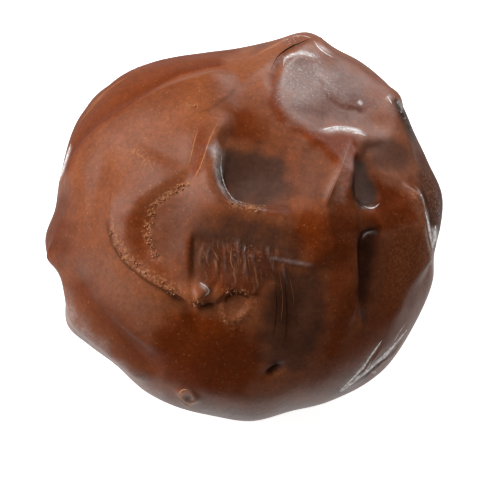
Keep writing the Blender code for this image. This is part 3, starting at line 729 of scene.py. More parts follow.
def shaded_places(skin):
    """Painted shade: a cooler, darker brown in the hollows and on the sides that turn from the light."""
    # The broad left face and the side
    skin.region(
        "dark", [(-10.4, -1.5), (-7.4, -5.0), (-5.2, -6.0), (-7.2, -8.6), (-7.6, -10.6), (-12.5, -7.0),
        (-14, -4)], amount=0.28, soft=1.2
    )
    skin.region(
        "dark", [(-14.6, 3.0), (-13.2, 2.6), (-12.8, -1.0), (-13.6, -2.6), (-16, -1.6), (-16, 1.0)],
        amount=0.4, soft=0.8
    )
    skin.region(
        "dark", [(-0.5, 13.4), (-6.2, 11.9), (-9.2, 9.9), (-11.8, 7.8), (-13.8, 4.8), (-16, 5), (-12, 12),
        (-4, 15), (0, 14.6)], amount=0.2, soft=0.5
    )
    skin.line(
        "dark", [(-13.0, -3.6), (-11.6, -5.8), (-9.8, -7.6), (-8.2, -9.2), (-6.6, -10.8)],
        amount=0.2, left=0.7, right=0.7
    )
    skin.line("dark", OUTER_BREAK, amount=0.25, left=0.1, right=0.7)
    # The hollow and its rim
    skin.region(
        "dark", [(-1.9, 5.6), (-2.0, 4.4), (-1.9, 3.2), (-0.9, 1.8), (1.2, 1.45), (3.0, 1.5), (3.6, 3.2),
        (3.0, 5.2), (0.8, 5.8)], amount=0.9, soft=0.8
    )
    # The wrinkled patch and the tip
    skin.region(
        "dark", [(-3.8, 0.4), (-3.9, -3.6), (-2.8, -3.8), (-1.2, -1.8), (1.0, -2.2), (4.0, -2.6),
        (4.0, -1.4), (2.0, -0.1), (0, 0.6)], amount=0.85, soft=1.3
    )
    skin.region(
        "dark", [(-1.6, -1.2), (-2.6, -3.6), (-1.0, -4.4), (2.8, -4.4), (3.0, -2.0)], amount=0.7, soft=0.8
    )
    skin.region(
        "dark", [(-6.4, 0.8), (-6.4, -1.6), (-4.3, -3.4), (-4.0, 0.6), (-1.8, 1.0), (3.2, 0.4),
        (3.2, -0.4), (-2.0, 0.2), (-4.6, 2.2)], amount=0.3, soft=0.9
    )
    # The ridge and the column
    skin.region("dark", [(4.2, 5.8), (6.3, 5.6), (5.6, 2.4), (4.0, 2.0)], amount=0.42, soft=1.0)
    skin.region(
        "dark", [(6.3, -2.8), (8.0, -2.8), (8.2, -5.6), (7.0, -8.0), (6.0, -6.0)], amount=0.22, soft=0.7
    )
    skin.region(
        "dark", [(6.0, 1.2), (8.2, 1.6), (8.4, -0.5), (7.4, -2.6), (6.2, -3.2), (5.4, -1.0)],
        amount=0.2, soft=0.8
    )
    # The right hollows and the arm
    skin.region(
        "dark", [(8.2, 4.9), (8.0, 2.4), (8.6, 1.4), (9.8, 1.6), (9.9, 2.4), (9.4, 3.6), (8.9, 4.9)],
        amount=0.95, soft=0.3
    )
    skin.region(
        "dark", [(8.4, -0.8), (9.2, -0.1), (9.8, -0.4), (9.5, -4.5), (8.9, -7.8), (8.4, -5.5)],
        amount=0.75, soft=0.4
    )
    skin.region(
        "dark", [(9.3, 6.4), (9.5, 5.3), (11.2, 4.2), (12.4, 4.6), (12.2, 6.0), (11.4, 6.7)],
        amount=0.6, soft=0.4
    )
    skin.region(
        "dark", [(9.2, 6.0), (9.4, 4.8), (10.8, 4.2), (11.6, 5.0), (11.2, 6.2)], amount=0.6, soft=0.5
    )
    skin.region("dark", [(9.4, -1.0), (10.4, -1.2), (10.2, -5.0), (9.4, -8.0)], amount=0.3, soft=0.6)
    # The far right layer and its break
    skin.region(
        "dark", [(12.9, 4.8), (13.7, 1.6), (14.2, -1.6), (16, -2.4), (16, 4.2), (13.6, 7.0), (12.6, 9.4),
        (11.8, 9.4)], amount=0.75, soft=0.5
    )
    # The facet, its basin and the peak
    skin.region(
        "dark", [(3.0, 12.8), (2.8, 10.4), (3.6, 8.4), (5.5, 7.6), (7.3, 7.9), (9.2, 8.4), (9.6, 9.8),
        (8.0, 11.8), (4.6, 13.2)], amount=0.45, soft=0.9
    )
    skin.region("dark", [(0.8, 13.2), (1.8, 13.6), (1.6, 14.0), (0.8, 13.9)], amount=0.8, soft=0.4)
    skin.region(
        "dark", [(11.5, 9.6), (12.2, 9.4), (13.4, 6.6), (12.7, 6.4), (11.9, 8.2)], amount=0.9, soft=0.25
    )
    # The front face and the foot
    skin.region(
        "dark", [(2.0, -2.9), (5.2, -3.2), (5.9, -4.6), (6.0, -7.2), (5.0, -9.4), (3.4, -11.0),
        (1.2, -9.8), (1.4, -6.5)], amount=0.7, soft=0.9
    )
    skin.region(
        "dark", [(-6.0, -13.0), (0, -13.6), (6, -12.8), (9, -10.5), (9, -15), (-6, -16)],
        amount=0.6, soft=1.6
    )


def painted_warm_shade(skin):
    """Painted warm shade: a deeper, warmer brown, with less shine, in shaded matt places."""
    # The broad left face and the side
    skin.region("deep", [(-15.6, 2.4), (-13.2, 2.4), (-13.0, -2.0), (-15.6, -3.0)], amount=0.9, soft=0.8)
    skin.region(
        "deep", [(-0.5, 13.0), (-6.5, 11.0), (-9.6, 8.9), (-12.2, 6.8), (-14.0, 4.0), (-16, 5), (-12, 12),
        (-4, 15), (0, 14.6)], amount=0.75, soft=0.35
    )
    skin.line(
        "deep", [(-12.6, -3.6), (-11.2, -5.6), (-9.8, -7.0), (-8.2, -8.6), (-6.6, -10.0), (-5.6, -11.2)],
        amount=0.9, left=1.0, right=1.0
    )
    skin.line("deep", OUTER_BREAK, amount=1.0, left=0.25, right=1.2)
    # The swirl
    skin.region(
        "deep", [(-3.9, 6.6), (-3.0, 7.4), (-2.6, 5.6), (-3.0, 4.2), (-3.9, 3.6)], amount=0.8, soft=0.4
    )
    skin.region(
        "deep", [(-8.9, 0.5), (-8.4, -2.0), (-6.4, -3.6), (-5.2, -4.0), (-6.6, -2.4), (-7.2, -0.4),
        (-6.8, 1.4), (-7.6, 1.8)], amount=0.7, soft=0.8
    )
    # The hollow and its rim
    skin.region("deep", [(1.4, 5.6), (3.2, 5.6), (3.4, 2.2), (2.0, 1.7)], amount=0.4, soft=0.8)
    skin.region(
        "deep", [(-0.9, 8.8), (-1.1, 6.8), (0.6, 6.2), (1.8, 7.0), (0.9, 8.6)], amount=0.9, soft=0.8
    )
    skin.region("deep", [(1.2, 5.4), (3.4, 5.2), (3.6, 1.8), (0.6, 2.0)], amount=0.5, soft=1.0)
    skin.line("deep", [(1.5, 1.3), (2.6, 1.2), (4.0, 1.1)], amount=1.0, left=0.4, right=0.4, start=0.3)
    # The wrinkled patch and the tip
    skin.region(
        "deep", [(-3.4, -1.0), (-3.2, -3.6), (-1.8, -4.8), (0.8, -4.8), (2.6, -3.6), (2.8, -1.6)],
        amount=1.0, soft=0.8
    )
    skin.line(
        "deep", [(-4.1, -0.3), (-4.15, -1.6), (-4.1, -3.0), (-3.8, -4.2)], amount=1.0, left=0.3, right=0.2
    )
    # The ridge and the column
    skin.region(
        "deep", [(3.6, 7.3), (5.0, 7.0), (6.6, 6.9), (8.4, 6.9), (8.3, 5.2), (7.6, 3.6), (6.4, 5.0)],
        amount=1.0, soft=0.35
    )
    skin.region(
        "deep", [(3.4, 0.8), (8.2, 1.6), (8.3, -2.5), (6.6, -3.2), (3.6, -1.8)], amount=1.0, soft=1.0
    )
    skin.region("deep", [(7.5, 6.0), (8.1, 6.0), (8.0, 2.0), (7.3, 2.0)], amount=0.8, soft=0.4)
    # The right hollows and the arm
    skin.region(
        "deep", [(8.5, -0.9), (9.8, -0.5), (9.8, -3.0), (9.2, -7.0), (8.4, -5.5)], amount=0.8, soft=0.4
    )
    skin.region(
        "deep", [(8.8, 1.2), (9.9, 2.2), (9.7, 3.8), (10.6, 3.2), (12.3, 2.4), (13.0, 0.5), (11, -0.5),
        (8.8, 0.2)], amount=1.0, soft=0.4
    )
    # The far right layer and its break
    skin.region(
        "deep", [(10.8, 1.5), (12.8, 1.0), (13.3, -3.5), (12.4, -6.5), (10.6, -8.4), (10.2, -5.0)],
        amount=0.5, soft=0.8
    )
    skin.line(
        "deep", [(12.2, 3.8), (12.7, 3.5), (13.2, 3.0), (13.5, 2.5)],
        amount=0.7, left=0.3, right=0.5, start=0.2, stop=0.4
    )
    skin.region(
        "deep", [(12.9, 4.8), (13.7, 1.6), (14.2, -1.6), (16, -2.4), (16, 4.2), (13.6, 7.0)],
        amount=1.0, soft=0.5
    )
    # The facet, its basin and the peak
    skin.region(
        "deep", [(3.9, 9.0), (5.0, 7.9), (7.2, 8.2), (9.4, 8.8), (9.9, 9.8), (8.0, 9.9), (6.4, 10.6),
        (5.2, 9.4)], amount=0.9, soft=0.9
    )
    skin.line(
        "deep", [(8.3, 8.7), (8.9, 8.8), (9.3, 9.1), (9.4, 9.4)],
        amount=1.0, left=0.2, right=0.3, start=0.4, stop=0.3
    )
    skin.line(
        "deep", [(4.8, 12.1), (5.9, 10.9), (6.9, 9.9), (8.1, 8.9)], amount=0.7, left=0.1, right=0.25
    )
    skin.region(
        "deep", [(2.5, 12.6), (2.6, 10.4), (2.7, 9.0), (3.3, 8.0), (2.7, 7.6), (1.9, 9.0), (1.8, 11.5)],
        amount=0.9, soft=0.35
    )
    # The front face and the foot
    skin.region(
        "deep", [(-4.2, -6.0), (-1.0, -7.0), (1.2, -8.4), (1.6, -10.6), (0, -12.4), (-3.4, -12.6),
        (-5.2, -12.0), (-7.3, -9.9), (-6.7, -7.9), (-5.6, -6.6)], amount=1.0, soft=0.9
    )
    # The lower right side
    skin.region(
        "deep", [(10.4, -5.4), (11.6, -6.4), (8.8, -9.8), (5.2, -12.2), (3.8, -11.4), (7.6, -8.6)],
        amount=0.4, soft=0.7
    )
    skin.region(
        "deep", [(6.2, -3.0), (8.2, -2.6), (8.2, -6.0), (7.4, -9.0), (6.0, -10.4), (6.4, -7.0)],
        amount=0.85, soft=0.7
    )


def smooth_pools(skin):
    """Where it ran together and set smooth, it shines more."""
    # The hollow and its rim
    skin.region(
        "gloss", [(-2.4, 6.4), (-2.6, 4.4), (-1.9, 2.8), (-0.9, 1.6), (3.2, 1.2), (4.0, 3.4), (3.0, 5.6),
        (0.8, 6.6)], amount=0.5, soft=0.9
    )
    # The right hollows and the arm
    skin.region(
        "gloss", [(7.8, 5.6), (7.6, 2.4), (8.3, 1.4), (9.6, 1.6), (9.7, 2.6), (9.0, 4.6)],
        amount=0.5, soft=0.3
    )
    skin.region(
        "gloss", [(8.4, -0.8), (9.2, 0.2), (10.2, -0.2), (10.1, -4.5), (9.0, -7.8), (8.4, -5.5)],
        amount=0.8, soft=0.5
    )
    # The facet, its basin and the peak
    skin.region(
        "gloss", [(3.0, 12.8), (2.8, 10.4), (3.5, 9.4), (5.2, 9.6), (6.5, 10.6), (6.6, 12.2),
        (4.6, 13.6)], amount=0.6, soft=1.0
    )


def painted_crease_shade(skin):
    """Painted shade, nearly black, in the sharpest folds and a few hollows."""
    # The swirl
    skin.line(
        "crease_shade", [(-10.2, 0.8), (-9.7, -1.2), (-8.9, -2.5), (-7.3, -3.8), (-5.5, -4.9), (-4.4, -5.7)],
        amount=0.6, left=0.15, right=0.2
    )
    # The hollow and its rim
    skin.region(
        "crease_shade", [(-0.9, 8.6), (-1.0, 6.8), (0.6, 6.2), (1.8, 7.0), (0.9, 8.4)], amount=0.12, soft=0.8
    )
    skin.line(
        "crease_shade", [(-1.7, 5.2), (-1.75, 4.3), (-1.6, 3.2), (-1.0, 2.1)], amount=0.8, left=0.25, right=0.1
    )
    skin.line(
        "crease_shade", [(-3.6, 8.3), (-2.5, 8.8), (-1.2, 9.7), (-0.3, 10.7)],
        amount=0.35, left=0.12, right=0.15
    )
    # The wrinkled patch and the tip
    skin.line(
        "crease_shade", [(-3.75, -0.1), (-3.8, -1.2), (-3.8, -2.6), (-3.65, -3.8)],
        amount=0.6, left=0.1, right=0.2
    )
    skin.line(
        "crease_shade", [(0.5, -5.35), (0.0, -5.05), (-0.5, -4.92), (-0.9, -4.98), (-1.3, -5.25), (-1.4, -5.7)],
        amount=0.8, left=0.1, right=0.12, start=0.3, stop=0.3
    )
    # The right hollows and the arm
    skin.region(
        "crease_shade", [(8.5, -0.9), (9.3, -0.5), (9.4, -2.0), (9.2, -4.5), (8.8, -7.0), (8.4, -5.5)],
        amount=0.45, soft=0.35
    )
    skin.line(
        "crease_shade", [(8.3, 4.6), (8.15, 3.7), (8.1, 3.0), (8.2, 2.2), (8.6, 1.65), (9.2, 1.45)],
        amount=0.85, left=0.12, right=0.2
    )
    skin.line(
        "crease_shade", [(8.4, 4.2), (8.6, 5.1), (9.2, 6.0), (10.2, 6.3), (11.0, 6.3)],
        amount=0.5, left=0.4, right=0.25
    )
    skin.line(
        "crease_shade", [(10.2, -0.15), (9.3, -0.15), (8.7, -0.4), (8.5, -0.9), (8.45, -2.5), (8.4, -4.5),
        (8.45, -5.8)], amount=0.8, left=0.25, right=0.1
    )
    # The far right layer and its break
    skin.line(
        "crease_shade", [(13.2, 3.4), (13.75, 2.0), (14.1, 0.5), (14.25, -0.2)],
        amount=0.7, left=0.08, right=0.4
    )
    # The facet, its basin and the peak
    skin.line(
        "crease_shade", [(5.2, 14.3), (4, 13.8), (3.1, 13.2), (2.6, 12.4), (2.3, 11.4)],
        amount=0.45, left=0.2, right=0.2
    )
    skin.line(
        "crease_shade", [(11.3, 9.9), (11.8, 9.0), (12.4, 7.8), (13.0, 6.6)],
        amount=0.8, left=0.15, right=0.45, start=0.4, stop=1.2
    )
    skin.line(
        "crease_shade", [(8.2, 8.75), (8.8, 8.8), (9.2, 9.0)],
        amount=0.3, left=0.1, right=0.15, start=0.4, stop=0.3
    )
    # The front face and the foot
    skin.region(
        "crease_shade", [(2.3, -3.6), (3.6, -3.8), (4.0, -6.4), (3.0, -8.6), (2.1, -6.4)], amount=0.35, soft=0.8
    )
    skin.line(
        "crease_shade", [(1.5, -11.1), (2.1, -10.5), (2.7, -9.9)],
        amount=0.9, left=0.25, right=0.25, start=0.5, stop=0.5
    )
    skin.line(
        "crease_shade", [(-3.6, -6.0), (-3.1, -5.85), (-2.6, -5.65), (-2.1, -5.75)],
        amount=0.8, left=0.1, right=0.35, start=0.3, stop=0.3
    )
    # The lower right side
    skin.region(
        "crease_shade", [(10.6, -9.4), (10.9, -9.8), (9.4, -11.2), (8.6, -11.6), (9.5, -10.4)],
        amount=0.5, soft=0.15
    )
    # The crumb near the foot
    skin.line(
        "crease_shade", [(-4.3, -12.8), (-4.0, -13.0)], amount=0.7, left=0.2, right=0.2, start=0.1, stop=0.1
    )


def painted_highlights(skin):
    """Painted highlights and sheen on thin rims and smooth skins, and a paler tint on the crumb near the
    foot.
    """
    # The broad left face and the side
    skin.region(
        "painted_highlight", [(-13.6, -4.8), (-12.4, -6.9), (-9.6, -9.8), (-6.2, -12.6), (-8, -14.4), (-15, -8)],
        amount=0.2, soft=0.6
    )
    skin.region(
        "painted_highlight", [(-12.8, -2.2), (-9.8, -2.4), (-7.0, -5.6), (-7.8, -7.2), (-9.8, -6.0), (-12, -4.2)],
        amount=0.02, soft=0.9
    )
    skin.line(
        "painted_highlight", [(-13.95, 3.6), (-13.6, 4.8), (-13.1, 6.3)],
        amount=1.0, left=0.1, right=0.12, start=0.8, stop=0.8
    )
    # The hollow and its rim
    skin.region(
        "painted_highlight", [(-2.5, 5.9), (-2.0, 6.4), (-1.7, 5.8), (-1.7, 4.6), (-1.9, 3.7), (-2.3, 4.6)],
        amount=0.4, soft=0.3
    )
    skin.line(
        "painted_highlight", [(-2.1, 5.6), (-2.1, 4.4), (-1.8, 3.2), (-1.1, 2.1)], amount=0.45, left=0.1, right=0.15
    )
    # The wrinkled patch and the tip
    skin.line("painted_highlight", [(1.6, -2.2), (3.5, -2.6), (5.3, -2.9)], amount=0.25, left=0.12, right=0.12)
    skin.line(
        "painted_highlight", [(-3.4, -4.1), (-2.9, -4.5), (-2.6, -5.0)],
        amount=0.4, left=0.12, right=0.12, start=0.5, stop=0.3
    )
    # The ridge and the column
    skin.region(
        "painted_highlight", [(6.9, 4.4), (7.8, 6.2), (7.9, 3.6), (7.4, 1.8), (6.6, 2.0)], amount=0.08, soft=0.3
    )
    skin.line(
        "painted_highlight", [(5.2, 7.2), (6.2, 7.25), (7.2, 7.42), (8.0, 7.33), (8.7, 7.15), (9.3, 6.8)],
        amount=1.0, left=0.12, right=0.2, start=2, stop=1.2
    )
    skin.line("painted_highlight", [(8.2, 6.8), (7.5, 5.3), (6.7, 3.4), (6.1, 1.8)], amount=0.08, left=0.1, right=0.3)
    # The right hollows and the arm
    skin.line(
        "painted_highlight", [(8.8, -0.9), (9.0, -0.5), (9.5, -0.4), (10.0, -0.5)],
        amount=0.3, left=0.08, right=0.08, start=0.4, stop=0.4
    )
    # The far right layer and its break
    skin.line(
        "painted_highlight", [(13.4, 1.9), (13.7, 1.0), (13.95, -0.5), (14.3, -2.0), (14.5, -4.0)],
        amount=0.35, left=0.15, right=0.15
    )
    skin.line(
        "painted_highlight", [(14.15, 0.1), (14.4, -0.7), (14.5, -1.5)],
        amount=1.0, left=0.35, right=0.2, start=0.5, stop=0.5
    )
    skin.region(
        "painted_highlight", [(14.2, -0.1), (14.6, 0.0), (14.6, -0.8), (14.35, -1.7), (14.1, -0.9)],
        amount=0.7, soft=0.12
    )
    skin.line(
        "painted_highlight", [(12.75, 3.15), (13.2, 2.55), (13.45, 1.8), (13.6, 1.0)], amount=0.4, left=0.1, right=0.1
    )
    skin.line(
        "painted_highlight", [(13.5, 0.3), (13.6, -0.5), (13.85, -1.5), (14.1, -2.5), (14.2, -3.3)],
        amount=0.45, left=0.1, right=0.1
    )
    # The facet, its basin and the peak
    skin.line("painted_highlight", [(8.5, 9.5), (8.95, 9.25)], amount=1.0, left=0.14, right=0.14, start=0.2, stop=0.2)
    skin.line("painted_highlight", [(10.8, 9.9), (11.1, 9.6)], amount=0.6, left=0.2, right=0.2, start=0.2, stop=0.2)
    skin.line(
        "painted_highlight", [(3.0, 12.0), (3.05, 12.6), (3.5, 12.95), (4.3, 13.2), (5.2, 13.0), (6.0, 12.85)],
        amount=0.8, left=0.1, right=0.14
    )
    skin.line(
        "painted_highlight", [(5.1, 12.2), (6.2, 11.1), (7.2, 10.1), (8.5, 9.3)], amount=0.14, left=0.1, right=0.5
    )
    skin.region(
        "painted_highlight", [(2.7, 12.6), (2.6, 9.0), (3.4, 7.8), (5.2, 7.6), (7.2, 7.9), (9.4, 8.4), (10.4, 9.4),
        (8.8, 11.4), (6.8, 12.9), (4.4, 13.4)], amount=0.06, soft=0.6
    )
    skin.region(
        "painted_highlight", [(2.8, 12.4), (2.7, 10.0), (3.6, 9.0), (5.6, 8.9), (4.6, 10.8), (4.2, 12.4)],
        amount=0.1, soft=0.6
    )
    skin.line(
        "painted_highlight", [(11.6, 9.6), (11.9, 9.2), (12.0, 8.7)],
        amount=0.6, left=0.15, right=0.15, start=0.4, stop=0.4
    )
    skin.line(
        "painted_highlight", [(5.3, 14.2), (5.6, 13.8), (6.2, 13.4), (6.9, 13.0)], amount=0.5, left=0.12, right=0.12
    )
    # The front face and the foot
    skin.region(
        "painted_highlight", [(-5.0, -13.4), (-1.0, -13.6), (4.0, -13.4), (7.0, -12.6), (6.0, -15.5), (-4.0, -16)],
        amount=0.1, soft=1.2
    )
    # The lower right side
    skin.line(
        "painted_highlight", [(10.0, -10.9), (9.7, -11.1)], amount=1.0, left=0.12, right=0.12, start=0.1, stop=0.1
    )
    skin.line("painted_highlight", INNER_STREAK, amount=0.3, left=0.2, right=0.25, start=2, stop=0.4)
    skin.line("painted_highlight", OUTER_STREAK, amount=0.35, left=0.3, right=0.3, start=2, stop=0.4)
    # The crumb near the foot
    skin.region("painted_highlight", STUCK_CRUMB, amount=0.12, soft=0.2)


def tiny_glints(skin):
    """Painted glints: rough places dotted with tiny painted highlights; and the streaks of the last stroke.
    """
    # The wrinkled patch and the tip
    skin.line(
        "glints", [(-1.0, -2.9), (-0.9, -1.6), (0.0, -1.4), (0.7, -2.0), (2.0, -2.6)],
        amount=0.15, left=0.5, right=0.5
    )
    skin.region(
        "brushed", [(-3.4, -1.0), (-3.2, -3.6), (-1.8, -4.8), (0.8, -4.8), (2.6, -3.6), (2.8, -1.6),
        (0.0, -0.9)], amount=1.0, soft=0.8
    )
    # The far right layer and its break
    skin.line(
        "glints", [(14.5, 3.2), (14.7, 2.0), (14.7, 0.8), (14.6, 0.0)], amount=0.6, left=0.15, right=0.3
    )
    # The facet, its basin and the peak
    skin.region(
        "glints", [(2.7, 12.8), (2.7, 9.6), (4.4, 9.0), (6.0, 9.6), (8.2, 9.6), (6.8, 11.4), (5.4, 13.2)],
        amount=0.28, soft=0.8
    )
    skin.region(
        "glints", [(11.3, 9.9), (12.0, 9.6), (13.2, 7.0), (12.4, 7.4), (11.6, 9.0)], amount=0.9, soft=0.2
    )
    skin.line("glints", [(2.4, 14.0), (3.6, 14.3), (4.8, 14.6)], amount=0.5, left=0.3, right=0.4)


class Paint:
    """A new material, whose nodes are linked as they are made. Sizes are in mm."""

    def __init__(self, name):
        self.material = bpy.data.materials.new(name)
        self.material.use_nodes = True
        self.nodes = self.material.node_tree.nodes
        self.links = self.material.node_tree.links
        self.finish = self.nodes["Principled BSDF"].inputs
        self.place = self.nodes.new("ShaderNodeTexCoord").outputs["Object"]

    def feed(self, socket, value):
        """Links another node's output to a socket, or sets a colour or a number on it."""
        if isinstance(value, bpy.types.NodeSocket):
            self.links.new(value, socket)
        elif isinstance(value, tuple):
            socket.default_value = (*value, 1.0)
        else:
            socket.default_value = value

    def noise(self, size, detail=3.0, roughness=0.55, place=None):
        """Noise whose lumps are about size mm across, from 0 to 1."""
        texture = self.nodes.new("ShaderNodeTexNoise")
        texture.inputs["Scale"].default_value = 1 / (size * MM)
        texture.inputs["Detail"].default_value = detail
        texture.inputs["Roughness"].default_value = roughness
        self.links.new(place or self.place, texture.inputs["Vector"])
        return texture.outputs["Fac"]

    def ramp(self, value, low, high):
        """0 below low, 1 above high, and a smooth rise between."""
        rise = self.nodes.new("ShaderNodeMapRange")
        rise.interpolation_type = "SMOOTHSTEP"
        rise.inputs["From Min"].default_value = low
        rise.inputs["From Max"].default_value = high
        self.links.new(value, rise.inputs["Value"])
        return rise.outputs["Result"]

    def maths(self, operation, *values):
        """A sum, product or other operation on numbers and other nodes' outputs."""
        node = self.nodes.new("ShaderNodeMath")
        node.operation = operation
        for socket, value in zip(node.inputs, values):
            self.feed(socket, value)
        return node.outputs["Value"]

    def mixed(self, factor, a, b):
        """One colour turning into another as the factor rises from 0 to 1."""
        mix = self.nodes.new("ShaderNodeMix")
        mix.data_type = "RGBA"
        self.feed(mix.inputs["Factor"], factor)
        for name, value in (("A", a), ("B", b)):
            self.feed([s for s in mix.inputs if s.name == name and s.type == "RGBA"][0], value)
        return [s for s in mix.outputs if s.type == "RGBA"][0]

    def either(self, choice, first, second):
        """The first shader, or the second where choice is 1."""
        mix = self.nodes.new("ShaderNodeMixShader")
        for socket, value in zip(mix.inputs, (choice, first, second)):
            self.feed(socket, value)
        return mix.outputs["Shader"]

    def painted(self, name):
        """How much of one finish the skin has at each point."""
        node = self.nodes.new("ShaderNodeAttribute")
        node.attribute_name = name
        return node.outputs["Fac"]

    def streaks(self):
        """Fine streaks along the crown's up axis, a little fanned, from 0 to 1."""
        squeezed = []
        for axis, size in zip(crown_axes(), (0.17, 1.3, 0.8)):
            dot = self.nodes.new("ShaderNodeVectorMath")
            dot.operation = "DOT_PRODUCT"
            self.links.new(self.place, dot.inputs[0])
            dot.inputs[1].default_value = axis / size
            squeezed.append(dot.outputs["Value"])
        sway = self.maths("MULTIPLY", self.noise(size=1.6, detail=1), 5.0 * MM)
        squeezed[0] = self.maths("ADD", squeezed[0], sway)
        joined = self.nodes.new("ShaderNodeCombineXYZ")
        for value, socket in zip(squeezed, joined.inputs):
            self.links.new(value, socket)
        fine = self.noise(size=1.0, roughness=0.5, place=joined.outputs["Vector"])
        broken = self.ramp(self.noise(size=0.9), 0.42, 0.6)
        return self.maths("MULTIPLY", broken, self.ramp(fine, 0.5, 0.72))


def set_chocolate():
    """Brown chocolate, satin where it ran together, with the finish that the skin holds at each point: wear,
    flakes and streaks, painted shade and painted highlights, and a glow on the highlight threads.
    """
    paint = Paint("set chocolate")
    maths = paint.maths
    scuff, dark, deep, gloss, painted_highlight, brushed, crease_shade, glints, flake = map(paint.painted, Skin.FINISH)

    broad = paint.ramp(paint.noise(size=5.0), 0.35, 0.65)
    body = paint.mixed(broad, BROWN, BROWN_LIGHT)
    # painted warm shade and painted shade darken the brown
    body = paint.mixed(deep, body, BROWN_WARM_SHADE)
    body = paint.mixed(dark, body, BROWN_SHADE)
    mottle = paint.ramp(paint.noise(size=0.4, detail=5, roughness=0.75), 0.3, 0.7)
    shade = paint.nodes.new("ShaderNodeHueSaturation")
    paint.feed(shade.inputs["Color"], body)
    paint.feed(shade.inputs["Value"], maths("MULTIPLY_ADD", mottle, 0.4, 0.82))

    grain = paint.ramp(paint.noise(size=0.24, roughness=0.6), 0.5, 0.58)
    worn = maths("MULTIPLY", scuff, maths("MAXIMUM", flake, grain))
    fibres = maths("MULTIPLY", brushed, paint.streaks())
    specks = paint.ramp(paint.noise(size=0.19, detail=2, roughness=0.5), 0.65, 0.7)
    specks = maths("MULTIPLY", specks, maths("SUBTRACT", 1.0, dark))
    pale = maths("MAXIMUM", worn, maths("MULTIPLY", specks, 0.38))
    pale = maths("MAXIMUM", pale, maths("MULTIPLY", fibres, 0.55))
    body = paint.mixed(pale, shade.outputs["Color"], TAN)
    # painted shade, nearly black, in the creases
    body = paint.mixed(crease_shade, body, CREASE_SHADE_COLOUR)

    # Painted highlights and painted glints turn the colour towards white, and the highlight threads glow
    uneven = paint.ramp(paint.noise(size=0.3, detail=4, roughness=0.7), 0.35, 0.65)
    points = paint.ramp(paint.noise(size=0.2, roughness=0.6), 0.57, 0.66)
    painted_highlight_amount = maths("MULTIPLY", painted_highlight, maths("MULTIPLY_ADD", uneven, 0.7, 0.4))
    painted_highlight_amount = maths("MAXIMUM", painted_highlight_amount, maths("MULTIPLY", glints, points))
    paint.feed(paint.finish["Base Color"], paint.mixed(painted_highlight_amount, body, HIGHLIGHT_WHITE))
    paint.feed(paint.finish["Emission Color"], HIGHLIGHT_WHITE)
    gleam = maths("MULTIPLY", maths("MULTIPLY", painted_highlight_amount, flake), GLINT)
    paint.feed(paint.finish["Emission Strength"], gleam)

    rough = maths("MULTIPLY_ADD", paint.noise(size=1.5), ROUGHNESS_VARIES, ROUGHNESS)
    rough = maths("SUBTRACT", rough, maths("MULTIPLY", gloss, ROUGHNESS_POLISHED))
    rough = maths("ADD", rough, maths("MULTIPLY", worn, ROUGHNESS_WORN))
    paint.feed(paint.finish["Roughness"], rough)
    shine = maths("MULTIPLY_ADD", gloss, SHINE_POLISHED, SHINE)
    shine = maths("SUBTRACT", shine, maths("MULTIPLY", deep, SHINE_MATT))
    shine = maths("MULTIPLY", shine, maths("SUBTRACT", 1.0, crease_shade))
    paint.feed(paint.finish["Specular IOR Level"], shine)

    bump = paint.nodes.new("ShaderNodeBump")
    bump.inputs["Strength"].default_value = BUMP_STRENGTH
    bump.inputs["Distance"].default_value = BUMP_DEPTH * MM
    relief = maths("ADD", paint.noise(size=0.9, detail=5, roughness=0.65), maths("ADD", worn, fibres))
    paint.feed(bump.inputs["Height"], relief)
    paint.feed(paint.finish["Normal"], bump.outputs["Normal"])
    return paint.material


def crumbs(bm, skin, layers):
    """Tiny broken flakes stuck along the rubbed edges, each an uneven eight-sided lump sunk into the skin."""
    draw = np.random.default_rng(31)
    rubbed = skin.finish["scuff"]
    chance = np.where(rubbed > CRUMBLY, rubbed**2, 0.0)
    chosen = draw.choice(len(rubbed), CRUMBS, p=chance / chance.sum())
    places = skin.points()[chosen] + draw.normal(0, CRUMB_SCATTER, (CRUMBS, 3))
    corners = np.array([(1, 0, 0), (0, 1, 0), (0, 0, 1), (-1, 0, 0), (0, -1, 0), (0, 0, -1)], float)
    sides = ((0, 1, 2), (1, 3, 2), (3, 4, 2), (4, 0, 2), (1, 0, 5), (3, 1, 5), (4, 3, 5), (0, 4, 5))
    for place in places:
        size = draw.uniform(*CRUMB_SIZES) * draw.uniform(*CRUMB_CORNERS, (6, 1))
        turn = np.linalg.qr(draw.normal(size=(3, 3)))[0]
        turn *= np.linalg.det(turn)
        verts = [bm.verts.new(co) for co in (place + corners * size @ turn) * MM]
        for vert in verts:
            vert[layers["scuff"]] = 1.0
            vert[layers["flake"]] = 1.0
        for side in sides:
            bm.faces.new([verts[i] for i in side])


def rounded(places):
    """The same line of places with its corners cut three times."""
    places = np.array(places, float)
    for _ in range(3):
        before, after = places[:-1], places[1:]
        cut = np.stack([before * 0.75 + after * 0.25, before * 0.25 + after * 0.75], 1)
        places = np.concatenate([places[:1], cut.reshape(-1, 2), places[-1:]])
    return places


